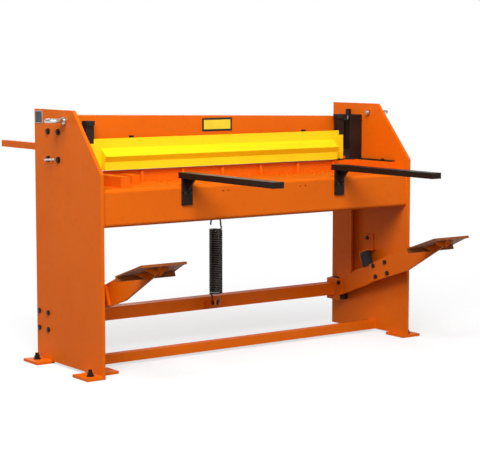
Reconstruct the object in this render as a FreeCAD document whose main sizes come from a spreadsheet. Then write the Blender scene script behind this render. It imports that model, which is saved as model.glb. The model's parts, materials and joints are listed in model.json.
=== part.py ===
import FreeCAD, Part
import Sketcher
import math
import os

# Treadle guillotine shear: two side plates carry a table and a lower blade; a
# treadle with two pedals pulls a raked ram with the upper blade down past it.
# Millimetres. +Z is up, +X runs along the blades, +Y points to the back.
# The origin is on the floor, at the middle of the whole machine in X and Y.

DOC = FreeCAD.newDocument("treadle_shear")
SHEET = DOC.addObject("Spreadsheet::Sheet", "sizes")
VECTOR = FreeCAD.Vector


class Size:
    """A number together with the sheet formula that gives it."""

    def __init__(self, number, formula):
        self.number = float(number)
        self.formula = formula

    def __add__(self, other):
        return joined(self, "+", other, self.number + number(other))

    def __radd__(self, other):
        return joined(other, "+", self, number(other) + self.number)

    def __sub__(self, other):
        return joined(self, "-", other, self.number - number(other))

    def __rsub__(self, other):
        return joined(other, "-", self, number(other) - self.number)

    def __mul__(self, other):
        return joined(self, "*", other, self.number * number(other))

    def __rmul__(self, other):
        return joined(other, "*", self, number(other) * self.number)

    def __truediv__(self, other):
        return joined(self, "/", other, self.number / number(other))

    def __neg__(self):
        return joined(0, "-", self, -self.number)


def number(value):
    """The plain number of a size or of a bare number."""
    return value.number if isinstance(value, Size) else float(value)


def formula(value):
    """The formula of a size or of a bare number."""
    return value.formula if isinstance(value, Size) else format(value, ".6g")


def joined(left, sign, right, result):
    """The size that two sizes give with one arithmetic sign between them."""
    return Size(result, f"({formula(left)} {sign} {formula(right)})")


def root(value):
    """The square root of a size."""
    return Size(math.sqrt(number(value)), f"sqrt({formula(value)})")


def slope_angle(rise, run):
    """The angle in degrees of a slope with this rise over this run."""
    angle = math.degrees(math.atan(number(rise) / number(run)))
    return Size(angle, f"atan({formula(rise)} / {formula(run)})")


def size(name, value):
    """Write one driving dimension to the sheet and return it."""
    size.row += 1
    SHEET.set(f"A{size.row}", name)
    SHEET.set(f"B{size.row}", str(value))
    SHEET.setAlias(f"B{size.row}", name)
    return Size(value, f"sizes.{name}")


size.row = 0


# Driving dimensions

# Side plates and the whole frame
frame_width = size("frame_width", 1680)
plate_thickness = size("plate_thickness", 15)
plate_depth = size("plate_depth", 555)
plate_top = size("plate_top", 1100)
slope_foot = size("slope_foot", 846)
slope_run = size("slope_run", 225)
guide_rear = size("guide_rear", 166)

# Feet and their anchor studs
foot_thickness = size("foot_thickness", 12)
foot_outside = size("foot_outside", 71)
foot_inside_left = size("foot_inside_left", 108)
foot_inside_right = size("foot_inside_right", 18)
foot_length = size("foot_length", 125)
foot_step = size("foot_step", 74)
foot_inner_length = size("foot_inner_length", 93)
anchor_out = size("anchor_out", 30)
anchor_back = size("anchor_back", 48)
anchor_radius = size("anchor_radius", 8)
anchor_above = size("anchor_above", 28)
anchor_recess = size("anchor_recess", 2)
anchor_nut_flats = size("anchor_nut_flats", 24)
anchor_nut = size("anchor_nut", 13)
anchor_washer = size("anchor_washer", 17)
anchor_washer_sheet = size("anchor_washer_sheet", 3)

# Tie bar between the plates, just above the floor
tie_size = size("tie_size", 40)
tie_wall = size("tie_wall", 4)
tie_back = size("tie_back", 225)

# Table: a bent apron and shelf, and the bed that carries the lower blade
apron_back = size("apron_back", 10)
apron_bottom = size("apron_bottom", 625)
apron_lip = size("apron_lip", 50)
shelf_top = size("shelf_top", 782)
table_sheet = size("table_sheet", 8)
bend_radius = size("bend_radius", 16)
bed_top = size("bed_top", 832)
bed_fore = size("bed_fore", 69)
bed_width = size("bed_width", 35)
bed_web = size("bed_web", 24)
bed_end_step = size("bed_end_step", 2)
bed_end = size("bed_end", 165)
bed_bottom = size("bed_bottom", 625)
rib_pitch = size("rib_pitch", 215)
rib_first = size("rib_first", 448)
rib_thickness = size("rib_thickness", 12)
rib_depth = size("rib_depth", 12)
rib_foot = size("rib_foot", 20)
rib_below = size("rib_below", 4)

# Blades and the gap between them
blade_side = size("blade_side", 155)
blade_thickness = size("blade_thickness", 12)
blade_height = size("blade_height", 60)
blade_gap = size("blade_gap", 0.1)
blade_screw_radius = size("blade_screw_radius", 5)
blade_screw_head = size("blade_screw_head", 9)
blade_screw_sink = size("blade_screw_sink", 7)
blade_screw_under = size("blade_screw_under", 1)
blade_screw_depth = size("blade_screw_depth", 18)
blade_screw_inset = size("blade_screw_inset", 70)
blade_screw_height = size("blade_screw_height", 34)
rake_rise = size("rake_rise", 33)
blade_opening = size("blade_opening", 8)
blade_showing = size("blade_showing", 14)

# Ram
ram_plate = size("ram_plate", 18)
ram_height = size("ram_height", 186)
ram_flange_depth = size("ram_flange_depth", 62)
ram_flange = size("ram_flange", 12)
ram_box_height = size("ram_box_height", 90)
ram_end = size("ram_end", 12)

# Guides on the side plates and the sliders on the ram
guide_thickness = size("guide_thickness", 28)
guide_length = size("guide_length", 206)
guide_width = size("guide_width", 104)
guide_above_bed = size("guide_above_bed", 1)
guide_cover = size("guide_cover", 10)
guide_cover_width = size("guide_cover_width", 75)
slider_width = size("slider_width", 36)
slider_reach = size("slider_reach", 15)
slider_play = size("slider_play", 1)
slider_length = size("slider_length", 140)
slider_low = size("slider_low", 48)
slider_block = size("slider_block", 48)
slider_side_gap = size("slider_side_gap", 6)
gib_thickness = size("gib_thickness", 6)
slide_fit = size("slide_fit", 0.05)
gib_cap = size("gib_cap", 6)
gib_screw_radius = size("gib_screw_radius", 6)
gib_screw_flats = size("gib_screw_flats", 24)
gib_screw_head = size("gib_screw_head", 26)
gib_screw_grip = size("gib_screw_grip", 14)
gib_screw_back = size("gib_screw_back", 36)

# Bolts through the side plates
frame_bolt_radius = size("frame_bolt_radius", 6)
frame_bolt_flats = size("frame_bolt_flats", 19)
frame_bolt_head = size("frame_bolt_head", 8)
frame_bolt_grip = size("frame_bolt_grip", 35)
guide_bolt_flange = size("guide_bolt_flange", 14)
guide_bolt_flange_sheet = size("guide_bolt_flange_sheet", 3)
guide_bolt_y = size("guide_bolt_y", 44)
guide_bolt_low = size("guide_bolt_low", 56)
guide_bolt_rise = size("guide_bolt_rise", 118)
bearing_bolt_y = size("bearing_bolt_y", 39)
bearing_bolt_z = size("bearing_bolt_z", 37)
hole_clearance = size("hole_clearance", 0.5)
thread_clearance = size("thread_clearance", 0.05)
stud_radius = size("stud_radius", 5)
stud_reach = size("stud_reach", 45)
stud_grip = size("stud_grip", 10)

# Lifting eyes
eye_fore = size("eye_fore", 104)
eye_below = size("eye_below", 43)
eye_shank = size("eye_shank", 8)
eye_ring = size("eye_ring", 31)
eye_wire = size("eye_wire", 8.5)
eye_neck = size("eye_neck", 24.5)
eye_thread = size("eye_thread", 5)
eye_collar = size("eye_collar", 16)
eye_collar_length = size("eye_collar_length", 10)
eye_nut_flats = size("eye_nut_flats", 24)
eye_nut_length = size("eye_nut_length", 13)

# Support arms in front of the table
arm_offset = size("arm_offset", 415)
arm_width = size("arm_width", 52)
arm_height = size("arm_height", 25)
arm_top = size("arm_top", 838)
arm_reach = size("arm_reach", 635)
arm_overlap = size("arm_overlap", 33)
arm_plate = size("arm_plate", 8)
arm_plate_bottom = size("arm_plate_bottom", 700)
arm_gusset = size("arm_gusset", 60)
arm_bolt_pitch = size("arm_bolt_pitch", 28)
spare_offset = size("spare_offset", 210)
arm_bolt_height = size("arm_bolt_height", 750)
arm_bolt_radius = size("arm_bolt_radius", 4)
arm_bolt_flats = size("arm_bolt_flats", 13)
arm_bolt_head = size("arm_bolt_head", 5.5)

# Rests and the squaring gauge on the table
rest_front = size("rest_front", 75)
rest_width = size("rest_width", 45)
rest_height = size("rest_height", 44)
rest_side = size("rest_side", 128)
stop_bar_front = size("stop_bar_front", 201)
stop_bar_width = size("stop_bar_width", 40)
stop_bar_height = size("stop_bar_height", 38)
stop_bar_side = size("stop_bar_side", 258)
gauge_block_front = size("gauge_block_front", 95)
gauge_block_width = size("gauge_block_width", 45)
gauge_strip = size("gauge_strip", 6)
gauge_strip_width = size("gauge_strip_width", 26)
gauge_strip_gap = size("gauge_strip_gap", 8)
gauge_strip_bolt = size("gauge_strip_bolt", 73)
strip_bolt_grip = size("strip_bolt_grip", 15)

# Finger guard
guard_top = size("guard_top", 973)
guard_bend = size("guard_bend", 931)
guard_ridge = size("guard_ridge", 897)
guard_under = size("guard_under", 873)
guard_bottom = size("guard_bottom", 837.5)
guard_gap = size("guard_gap", 8)
guard_ridge_fore = size("guard_ridge_fore", 48)
guard_foot_fore = size("guard_foot_fore", 34)
guard_side = size("guard_side", 183)
guard_plate_side = size("guard_plate_side", 122)
guard_corner_side = size("guard_corner_side", 149)
guard_corner_low = size("guard_corner_low", 952)
guard_sheet = size("guard_sheet", 3)
guard_bracket = size("guard_bracket", 6)
guard_bracket_side = size("guard_bracket_side", 141)
guard_bracket_width = size("guard_bracket_width", 22)
guard_bracket_height = size("guard_bracket_height", 58)
guard_bolt_back = size("guard_bolt_back", 5)
guard_bolt_grip = size("guard_bolt_grip", 12)
guard_bolt_radius = size("guard_bolt_radius", 2.5)
guard_bolt_flats = size("guard_bolt_flats", 8)
guard_bolt_head = size("guard_bolt_head", 3.5)

# Hold-down bar and its rods
hold_gap = size("hold_gap", 3)
hold_depth = size("hold_depth", 23)
hold_foot = size("hold_foot", 10)
hold_lift = size("hold_lift", 6)
hold_web = size("hold_web", 8)
hold_height = size("hold_height", 46)
hold_side = size("hold_side", 99)
post_side = size("post_side", 133)
post_inset = size("post_inset", 8)
post_width = size("post_width", 40)
post_depth = size("post_depth", 26)
post_cap_radius = size("post_cap_radius", 28)
post_cap_height = size("post_cap_height", 20)
post_top = size("post_top", 1050)
post_bottom = size("post_bottom", 940)
rod_radius = size("rod_radius", 6)
rod_fit = size("rod_fit", 0.05)
rod_top = size("rod_top", 1000)
post_arm_low = size("post_arm_low", 960)
post_arm_high = size("post_arm_high", 1000)
post_arm = size("post_arm", 12)
post_cap_solid = size("post_cap_solid", 6)
pin_side = size("pin_side", 349)
pin_inset = size("pin_inset", 8)
pin_radius = size("pin_radius", 6)
pin_head_radius = size("pin_head_radius", 11)
pin_head_height = size("pin_head_height", 14)
pin_bracket_top = size("pin_bracket_top", 968)
pin_bracket = size("pin_bracket", 12)
pin_bracket_half = size("pin_bracket_half", 16)
pin_bracket_rim = size("pin_bracket_rim", 11)

# Treadle: pivot, crossbar and levers
pivot_rear = size("pivot_rear", 101)
pivot_height = size("pivot_height", 184)
crossbar_size = size("crossbar_size", 58)
crossbar_wall = size("crossbar_wall", 4)
shaft_plug = size("shaft_plug", 60)
shaft_radius = size("shaft_radius", 20)
bearing_fit = size("bearing_fit", 0.05)
bush_wall = size("bush_wall", 6)
bearing_width = size("bearing_width", 112)
bearing_below = size("bearing_below", 56)
bearing_above = size("bearing_above", 50)
bearing_thickness = size("bearing_thickness", 24)
bearing_corner = size("bearing_corner", 12)
lever_thickness = size("lever_thickness", 12)
lever_inset = size("lever_inset", 54)
lever_tail = size("lever_tail", 30)
lever_heel = size("lever_heel", 60)
lever_low = size("lever_low", 28)
hub_low = size("hub_low", 52)
hub_lip = size("hub_lip", 4)
lever_tail_top = size("lever_tail_top", 50)
lever_neck_y = size("lever_neck_y", 84)
lever_neck_z = size("lever_neck_z", 52)
lever_shoulder_y = size("lever_shoulder_y", 170)
lever_shoulder_z = size("lever_shoulder_z", 108)
lap_front = size("lap_front", 452)
lap_front_low = size("lap_front_low", 116)
lap_front_top = size("lap_front_top", 196)
lap_slant = size("lap_slant", 29)
lap_rear = size("lap_rear", 290)
lap_rear_low = size("lap_rear_low", 60)
lap_step = size("lap_step", 1)
lever_knee_y = size("lever_knee_y", 560)
lever_knee_low = size("lever_knee_low", 149)
lever_knee_top = size("lever_knee_top", 262)
lever_tip_y = size("lever_tip_y", 793)
lever_tip_z = size("lever_tip_z", 281)
lever_end_y = size("lever_end_y", 826)
lever_meet_y = size("lever_meet_y", 685)
lap_bolt_near = size("lap_bolt_near", 331)
lap_bolt_pitch = size("lap_bolt_pitch", 83)
lap_bolt_middle = size("lap_bolt_middle", 122)
lap_bolt_rise = size("lap_bolt_rise", 26)
lap_bolt_half = size("lap_bolt_half", 25)
lap_bolt_lean = size("lap_bolt_lean", 9)
hub_bolt_y = size("hub_bolt_y", 64)
hub_bolt_z = size("hub_bolt_z", 36)
link_thickness = size("link_thickness", 10)
link_width = size("link_width", 128)
link_fore = size("link_fore", 25)
link_top = size("link_top", 725)
link_pin_y = size("link_pin_y", 98)
link_pin_z = size("link_pin_z", 21)
link_pin_radius = size("link_pin_radius", 12)
link_boss = size("link_boss", 26)
link_toe_y = size("link_toe_y", 16.6)
link_toe_z = size("link_toe_z", 20)
link_shoulder = size("link_shoulder", 78)
link_side_gap = size("link_side_gap", 2)
ram_pin_height = size("ram_pin_height", 690)
ram_pin_radius = size("ram_pin_radius", 10)
ram_leg_width = size("ram_leg_width", 44)
ram_pin_slot = size("ram_pin_slot", 4)
ram_pin_fit = size("ram_pin_fit", 0.25)
ram_leg_below = size("ram_leg_below", 25)
ram_leg_lean = size("ram_leg_lean", 4)
pin_cap_radius = size("pin_cap_radius", 17)
pin_cap = size("pin_cap", 4)
pin_cap_gap = size("pin_cap_gap", 0.3)

# Pedals
pedal_reach = size("pedal_reach", 706)
pedal_height = size("pedal_height", 462)
pedal_run = size("pedal_run", 143)
pedal_rise = size("pedal_rise", 56)
pedal_rear_width = size("pedal_rear_width", 277)
pedal_front_width = size("pedal_front_width", 211)
pedal_sheet = size("pedal_sheet", 6)
pedal_flange = size("pedal_flange", 24)
pedal_lip = size("pedal_lip", 11)
pedal_gusset = size("pedal_gusset", 30)
pedal_gusset_run = size("pedal_gusset_run", 55)
pedal_gusset_near = size("pedal_gusset_near", 28)
pedal_gusset_far = size("pedal_gusset_far", 97)
weld_gap = size("weld_gap", 0.1)

# Rubber stops above the levers
stop_fore = size("stop_fore", 265)
stop_length = size("stop_length", 52)
stop_height = size("stop_height", 68)
stop_width = size("stop_width", 26)
stop_shift = size("stop_shift", 3.2)
stop_gap = size("stop_gap", 0.3)
stop_bracket = size("stop_bracket", 6)
stop_lip = size("stop_lip", 45)
stop_tab = size("stop_tab", 20)
stop_bolt_back = size("stop_bolt_back", 55)
stop_bolt_height = size("stop_bolt_height", 451)
stop_bolt_depth = size("stop_bolt_depth", 12)
blind_play = size("blind_play", 1)

# Return spring
spring_fore = size("spring_fore", 99)
spring_radius = size("spring_radius", 27.6)
spring_wire = size("spring_wire", 7.6)
spring_bottom = size("spring_bottom", 240)
spring_turns = size("spring_turns", 36)
spring_pitch = size("spring_pitch", 8.2)
spring_pin_radius = size("spring_pin_radius", 7)
spring_ear = size("spring_ear", 8)
spring_ear_gap = size("spring_ear_gap", 16)
spring_hook_play = size("spring_hook_play", 0.8)
spring_ear_rim = size("spring_ear_rim", 16)
spring_ear_root = size("spring_ear_root", 6)
spring_pin_head = size("spring_pin_head", 11)
spring_pin_grip = size("spring_pin_grip", 4)
hanger_thickness = size("hanger_thickness", 10)
hanger_hole = size("hanger_hole", 8)
hanger_rim = size("hanger_rim", 16)
hanger_top = size("hanger_top", 700)

# Back gauge
gauge_reach = size("gauge_reach", 530)
gauge_arm_side = size("gauge_arm_side", 110)
gauge_arm_size = size("gauge_arm_size", 30)
gauge_arm_under = size("gauge_arm_under", 10)
gauge_out = size("gauge_out", 80)
gauge_bar_sheet = size("gauge_bar_sheet", 8)
gauge_bar_size = size("gauge_bar_size", 60)
carrier_wall = size("carrier_wall", 10)
carrier_length = size("carrier_length", 60)
carrier_fit = size("carrier_fit", 0.1)
clamp_radius = size("clamp_radius", 5)
clamp_lift = size("clamp_lift", 0.3)
clamp_head_radius = size("clamp_head_radius", 12)
clamp_head = size("clamp_head", 14)

# Blank label plates
label_sheet = size("label_sheet", 1.5)
label_width = size("label_width", 165)
label_height = size("label_height", 60)
label_bottom = size("label_bottom", 987)
side_label_width = size("side_label_width", 63)
side_label_height = size("side_label_height", 53)
side_label_margin = size("side_label_margin", 8)


# Places worked out from the driving dimensions

half_width = frame_width / 2
inner_half = half_width - plate_thickness
front = (arm_reach - plate_depth - gauge_reach) / 2
back = front + plate_depth
guide_line = back - guide_rear
bed_face = guide_line - bed_fore
bed_low_top = bed_top - bed_end_step
bed_back = bed_face + bed_width
cut_plane = bed_back + blade_thickness
ram_front = cut_plane + blade_gap + blade_thickness
hold_far = cut_plane - hold_gap
hold_near = hold_far - hold_depth
post_y = hold_near + post_inset
pin_y = hold_near + pin_inset
guard_rear = hold_near - guard_gap
eye_y = guide_line - eye_fore
gauge_y = back + gauge_out
guard_half = inner_half - guard_side
guard_plate_half = inner_half - guard_plate_side
guard_corner = inner_half - guard_corner_side
guard_bracket_x = inner_half - guard_bracket_side - guard_bracket_width
guard_bolt_x = guard_bracket_x + guard_bracket_width / 2
hold_half = inner_half - hold_side
post_x = inner_half - post_side
pin_x = inner_half - pin_side
gauge_arm_x = inner_half - gauge_arm_side
blade_length = 2 * (inner_half - blade_side)
blade_screw_pitch = (blade_length / 2 - blade_screw_inset) / 3
rake = rake_rise / blade_length
cut_low = bed_top + blade_opening
guide_bottom = bed_top + guide_above_bed
guide_top = guide_bottom + guide_length
guide_front = guide_line - guide_width / 2
guide_inner = inner_half - guide_thickness
ram_half = guide_inner - slider_side_gap - slider_block - ram_end
box_floor = blade_showing + ram_height - ram_box_height
ram_box_low = cut_low + rake * (blade_length / 2 - ram_half) + box_floor
gauge_arm_z = ram_box_low - gauge_arm_under - gauge_arm_size / 2
eye_z = plate_top - eye_below
pivot_y = guide_line + pivot_rear
link_y = pivot_y - link_pin_y
lever_outer = half_width - lever_inset
lever_inner = lever_outer - lever_thickness
front_lever_inner = lever_inner - lever_thickness
link_inner = lever_outer + link_side_gap
link_outer = link_inner + link_thickness
shaft_end = inner_half - link_side_gap
link_pin_place = (link_y, pivot_height + link_pin_z)
pedal_x = front_lever_inner + lever_thickness / 2
pedal_slant = root(pedal_rise * pedal_rise + pedal_run * pedal_run)
hold_bottom = bed_top + hold_lift
stop_y = pivot_y - stop_fore
stop_rise = lap_front_top - lever_shoulder_z
stop_run = lap_front - lap_slant - lever_shoulder_y
stop_slant = root(stop_rise * stop_rise + stop_run * stop_run)
lap_rear_top = lever_shoulder_z + stop_rise / stop_run * (lap_rear - lever_shoulder_y) - lap_step
stop_cos = stop_run / stop_slant
stop_sin = stop_rise / stop_slant
stop_z = (pivot_height + lever_shoulder_z
          + stop_rise / stop_run * (pivot_y - lever_shoulder_y - stop_y))
spring_y = pivot_y - spring_fore
ear_pin_z = (spring_bottom - 2 * spring_radius + spring_wire / 2 + spring_pin_radius
             + spring_hook_play)
spring_top = spring_bottom + (spring_turns + 0.25) * spring_pitch
hanger_hole_z = (spring_top + 2 * spring_radius - spring_wire / 2 + hanger_hole
                 - spring_hook_play)


# Building functions

def bind(thing, **properties):
    """Tie properties of an object to sheet formulas."""
    for name, value in properties.items():
        thing.setExpression(name, formula(value))


def place(thing, x=0, y=0, z=0, axis=(0, 0, 1), angle=0):
    """Put an object at a place that is tied to the sheet, turned about an axis."""
    rotation = FreeCAD.Rotation(VECTOR(*axis), number(angle))
    base = VECTOR(number(x), number(y), number(z))
    thing.Placement = FreeCAD.Placement(base, rotation)
    for letter, value in zip("xyz", (x, y, z)):
        if isinstance(value, Size):
            thing.setExpression(f".Placement.Base.{letter}", formula(value))
    if isinstance(angle, Size):
        thing.setExpression(".Placement.Rotation.Angle", formula(angle))
    return thing


def add(kind, label="piece"):
    """A new object of the document."""
    thing = DOC.addObject(kind, label)
    thing.Label = label
    return thing


def block(x, y, z, label="block"):
    """A box between two values along each axis."""
    thing = add("Part::Box", label)
    bind(thing, Length=x[1] - x[0], Width=y[1] - y[0], Height=z[1] - z[0])
    return place(thing, x[0], y[0], z[0])


TURNS = {"x": ((0, 1, 0), 90), "y": ((1, 0, 0), -90), "z": ((0, 0, 1), 0)}


def rod(along, radius, start, length, label="rod"):
    """A cylinder from a start point in the positive direction of one axis."""
    thing = add("Part::Cylinder", label)
    bind(thing, Radius=radius, Height=length)
    axis, angle = TURNS[along]
    return place(thing, *start, axis, angle)


def hexagon(along, flats, start, length, label="hexagon"):
    """A six-sided prism, measured over its flats."""
    thing = add("Part::Prism", label)
    thing.Polygon = 6
    bind(thing, Circumradius=flats / math.sqrt(3), Height=length)
    axis, angle = TURNS[along]
    return place(thing, *start, axis, angle)


def fused(label, *things):
    """One solid from several."""
    thing = add("Part::MultiFuse", label)
    thing.Shapes = list(things)
    return thing


def without(label, base, *tools):
    """A solid with others cut out of it."""
    thing = add("Part::Cut", label)
    thing.Base = base
    thing.Tool = tools[0] if len(tools) == 1 else fused(f"{label}_cutters", *tools)
    return thing


def both(label, first, second):
    """The space that two solids share."""
    thing = add("Part::Common", label)
    thing.Base = first
    thing.Tool = second
    return thing


def together(label, *things):
    """Separate solids that share one node."""
    thing = add("Part::Compound", label)
    thing.Links = list(things)
    return thing


PLANES = {"yz": ("YZ_Plane", False), "xz": ("XZ_Plane", True), "xy": ("XY_Plane", False)}


def outline_sketch(body, plane, points, holes):
    """A closed outline and round holes, each place tied to the sheet."""
    role, _ = PLANES[plane]
    sketch = body.newObject("Sketcher::SketchObject", "outline")
    origin = [item for item in body.Origin.OriginFeatures if item.Role == role][0]
    sketch.AttachmentSupport = [(origin, "")]
    sketch.MapMode = "FlatFace"
    corners = [VECTOR(number(u), number(v), 0) for u, v in points]
    count = len(corners)
    for index in range(count):
        line = Part.LineSegment(corners[index], corners[(index + 1) % count])
        sketch.addGeometry(line, False)
    for index in range(count):
        following = (index + 1) % count
        sketch.addConstraint(Sketcher.Constraint("Coincident", index, 2, following, 1))
    for index, (u, v) in enumerate(points):
        pin_point(sketch, index, 1, u, v)
    for u, v, radius in holes:
        centre = VECTOR(number(u), number(v), 0)
        circle = Part.Circle(centre, VECTOR(0, 0, 1), number(radius))
        index = sketch.addGeometry(circle, False)
        pin_point(sketch, index, 3, u, v)
        row = sketch.addConstraint(Sketcher.Constraint("Radius", index, number(radius)))
        sketch.setExpression(f"Constraints[{row}]", formula(radius))
    return sketch


def pin_point(sketch, index, end, u, v):
    """Tie one point of a sketch to its distances from the origin."""
    for kind, value in (("DistanceX", u), ("DistanceY", v)):
        constraint = Sketcher.Constraint(kind, -1, 1, index, end, number(value))
        row = sketch.addConstraint(constraint)
        if isinstance(value, Size):
            sketch.setExpression(f"Constraints[{row}]", formula(value))


def slab(label, plane, points, start, thickness, holes=(), rounds=()):
    """A plate with an outline in one plane, from start on across its thickness."""
    body = add("PartDesign::Body", label)
    sketch = outline_sketch(body, plane, points, holes)
    pad = body.newObject("PartDesign::Pad", "pad")
    pad.Profile = sketch
    pad.setExpression("Length", formula(thickness))
    pad.Reversed = PLANES[plane][1]
    last = pad
    for corners, radius in rounds:
        DOC.recompute()
        fillet = body.newObject("PartDesign::Fillet", "bend")
        fillet.Base = (last, edges_at(last.Shape, plane, corners))
        bind(fillet, Radius=radius)
        last = fillet
    offset = {"yz": {"x": start}, "xz": {"y": start}, "xy": {"z": start}}[plane]
    return place(body, **offset)


def edges_at(shape, plane, corners):
    """The names of the edges that stand on these corners of an outline."""
    skipped = {"yz": 0, "xz": 1, "xy": 2}[plane]
    names = []
    for index, edge in enumerate(shape.Edges):
        ends = [list(vertex.Point) for vertex in edge.Vertexes]
        flat = [end[:skipped] + end[skipped + 1:] for end in ends]
        for u, v in corners:
            near = [math.hypot(a - number(u), b - number(v)) < 0.01 for a, b in flat]
            if len(near) == 2 and all(near):
                names.append(f"Edge{index + 1}")
    return names


def mirrored(label, thing):
    """The same piece on the other side of the machine's middle."""
    twin = add("Part::Mirroring", label)
    twin.Source = thing
    twin.Normal = VECTOR(1, 0, 0)
    return twin


NODES = []


def node(thing):
    """Keep a finished piece under its label."""
    NODES.append(thing)
    return thing


def pair(name, thing):
    """Keep a right-hand piece and its mirror image as two nodes."""
    thing.Label = f"{name}_right"
    node(thing)
    return node(mirrored(f"{name}_left", thing))


def twins(label, *things):
    """Keep right-hand pieces and their mirror images as one node."""
    images = [mirrored(f"{label}_image", thing) for thing in things]
    return node(together(label, *things, *images))


def bolt_out(y, z, raised=0):
    """A hex bolt on the right-hand plate, its head outside and its shank inwards."""
    start = half_width + raised
    head = hexagon("x", frame_bolt_flats, (start, y, z), frame_bolt_head)
    shank = rod("x", frame_bolt_radius, (half_width - frame_bolt_grip, y, z),
                frame_bolt_grip + raised)
    return fused("bolt", head, shank)


# Frame: side plates, feet and tie bar

def guide_bolt_places():
    """The four bolts that hold one guide, as Y and Z."""
    low = guide_bottom + guide_bolt_low
    heights = (low, low + guide_bolt_rise)
    return [(guide_line + side * guide_bolt_y, z) for side in (-1, 1) for z in heights]


def bearing_bolt_places():
    """The four bolts that hold one bearing, as Y and Z."""
    return [(pivot_y + a * bearing_bolt_y, pivot_height + b * bearing_bolt_z)
            for a in (-1, 1) for b in (-1, 1)]


def stop_bolt_place():
    """The bolt that holds one stop bracket, as Y and Z."""
    return stop_y + stop_bolt_back, stop_bolt_height


def side_plates():
    outline = [(front, foot_thickness), (back, foot_thickness), (back, plate_top),
               (front + slope_run, plate_top), (front, slope_foot)]
    clear = frame_bolt_radius + hole_clearance
    holes = [(y, z, clear) for y, z in guide_bolt_places() + bearing_bolt_places()]
    holes.append((guide_line, guide_bottom + guide_bolt_low, stud_radius + hole_clearance))
    holes.append((eye_y, eye_z, eye_shank + hole_clearance))
    plate = slab("plate", "yz", outline, inner_half, plate_thickness, holes)
    y, z = stop_bolt_place()
    tapped = frame_bolt_radius + thread_clearance
    blind = rod("x", tapped, (inner_half, y, z), stop_bolt_depth)
    pair("side_plate", without("side_plate", plate, blind))


def feet():
    """Foot plates: the left front one also reaches inwards, further back."""
    outer = half_width + foot_outside
    far = front + foot_length
    inner = inner_half - foot_inside_right
    stud_x = half_width + anchor_out
    clear = anchor_radius + hole_clearance
    near_hole = (stud_x, front + anchor_back, clear)
    right = [(inner, front), (outer, front), (outer, far), (inner, far)]
    inner = inner_half - foot_inside_left
    step = front + foot_step
    end = step + foot_inner_length
    left = [(inner_half, front), (outer, front), (outer, far), (inner_half, far),
            (inner_half, end), (inner, end), (inner, step), (inner_half, step)]
    rear = [(inner_half, back - foot_length), (outer, back - foot_length),
            (outer, back), (inner_half, back)]
    rear_hole = (stud_x, back - anchor_back, clear)
    right_foot = slab("right_foot", "xy", right, 0, foot_thickness, [near_hole])
    left_foot = slab("left_foot", "xy", left, 0, foot_thickness, [near_hole])
    rear_foot = slab("rear_foot", "xy", rear, 0, foot_thickness, [rear_hole])
    node(together("feet", right_foot, mirrored("left_foot_image", left_foot), rear_foot,
                  mirrored("rear_foot_image", rear_foot)))


def anchor_studs():
    studs = []
    x = half_width + anchor_out
    for y in (front + anchor_back, back - anchor_back):
        stud = rod("z", anchor_radius, (x, y, anchor_recess),
                   foot_thickness + anchor_above - anchor_recess)
        washer = rod("z", anchor_washer, (x, y, foot_thickness), anchor_washer_sheet)
        nut = hexagon("z", anchor_nut_flats, (x, y, foot_thickness + anchor_washer_sheet),
                      anchor_nut)
        studs.append(fused("anchor_stud", stud, washer, nut))
    twins("anchor_studs", *studs)


def tube(label, x, y, z, wall):
    """A square tube along X."""
    inside = block(x, (y[0] + wall, y[1] - wall), (z[0] + wall, z[1] - wall))
    return without(label, block(x, y, z), inside)


def tie_bar():
    y = front + tie_back
    z = foot_thickness
    node(tube("tie_bar", (-inner_half, inner_half), (y, y + tie_size), (z, z + tie_size),
              tie_wall))


# Table: apron and shelf, bed, ribs and lower blade

def table_beam():
    face = front + apron_back
    inside = face + table_sheet
    under = shelf_top - table_sheet
    web = bed_back - bed_web
    outline = [(face + apron_lip, apron_bottom), (face, apron_bottom), (face, shelf_top),
               (web, shelf_top), (web, under), (inside, under),
               (inside, apron_bottom + table_sheet),
               (face + apron_lip, apron_bottom + table_sheet)]
    outer = [(face, shelf_top), (face, apron_bottom)]
    inner = [(inside, under), (inside, apron_bottom + table_sheet)]
    rounds = [(outer, bend_radius), (inner, bend_radius - table_sheet)]
    beam = slab("beam", "yz", outline, -inner_half, 2 * inner_half, rounds=rounds)
    tapped = arm_bolt_radius + thread_clearance
    holes = []
    for x in (-arm_offset, -spare_offset, spare_offset, arm_offset):
        for side in (-1, 1):
            start = (x + side * arm_bolt_pitch / 2, face, arm_bolt_height)
            holes.append(rod("y", tapped, start, table_sheet))
    node(without("table_beam", beam, *holes))


def blade_screw_xs():
    return [index * blade_screw_pitch for index in (-3, -2, -1, 0, 1, 2, 3)]


def edge_at(x):
    """The height of the upper blade's cutting edge at one place along the ram."""
    return cut_low + rake * (blade_length / 2 - x)


def sunk_rod(x, z, face, way, near, far, radius):
    """A cylinder between two depths below a face that looks along Y."""
    start = face + near if way > 0 else face - far
    return rod("y", radius, (x, start, z), far - near)


def blade_screws(label, places, face, way):
    """All screws of one blade as one node, heads just below its face."""
    end = blade_screw_sink + blade_screw_depth
    screws = []
    for x, z in places:
        head = sunk_rod(x, z, face, way, blade_screw_under, blade_screw_sink,
                        blade_screw_head)
        shank = sunk_rod(x, z, face, way, blade_screw_sink, end, blade_screw_radius)
        screws.append(fused("screw", head, shank))
    node(together(label, *screws))


def screw_holes(places, face, way):
    """Stepped holes for all screws of one blade."""
    end = blade_screw_sink + blade_screw_depth
    holes = []
    for x, z in places:
        holes.append(sunk_rod(x, z, face, way, 0, blade_screw_sink,
                              blade_screw_head + hole_clearance))
        holes.append(sunk_rod(x, z, face, way, blade_screw_sink, end,
                              blade_screw_radius + thread_clearance))
    return holes


def lower_screw_places():
    return [(x, bed_top - blade_screw_height) for x in blade_screw_xs()]


def upper_screw_places():
    return [(x, edge_at(x) + blade_screw_height) for x in blade_screw_xs()]


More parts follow.
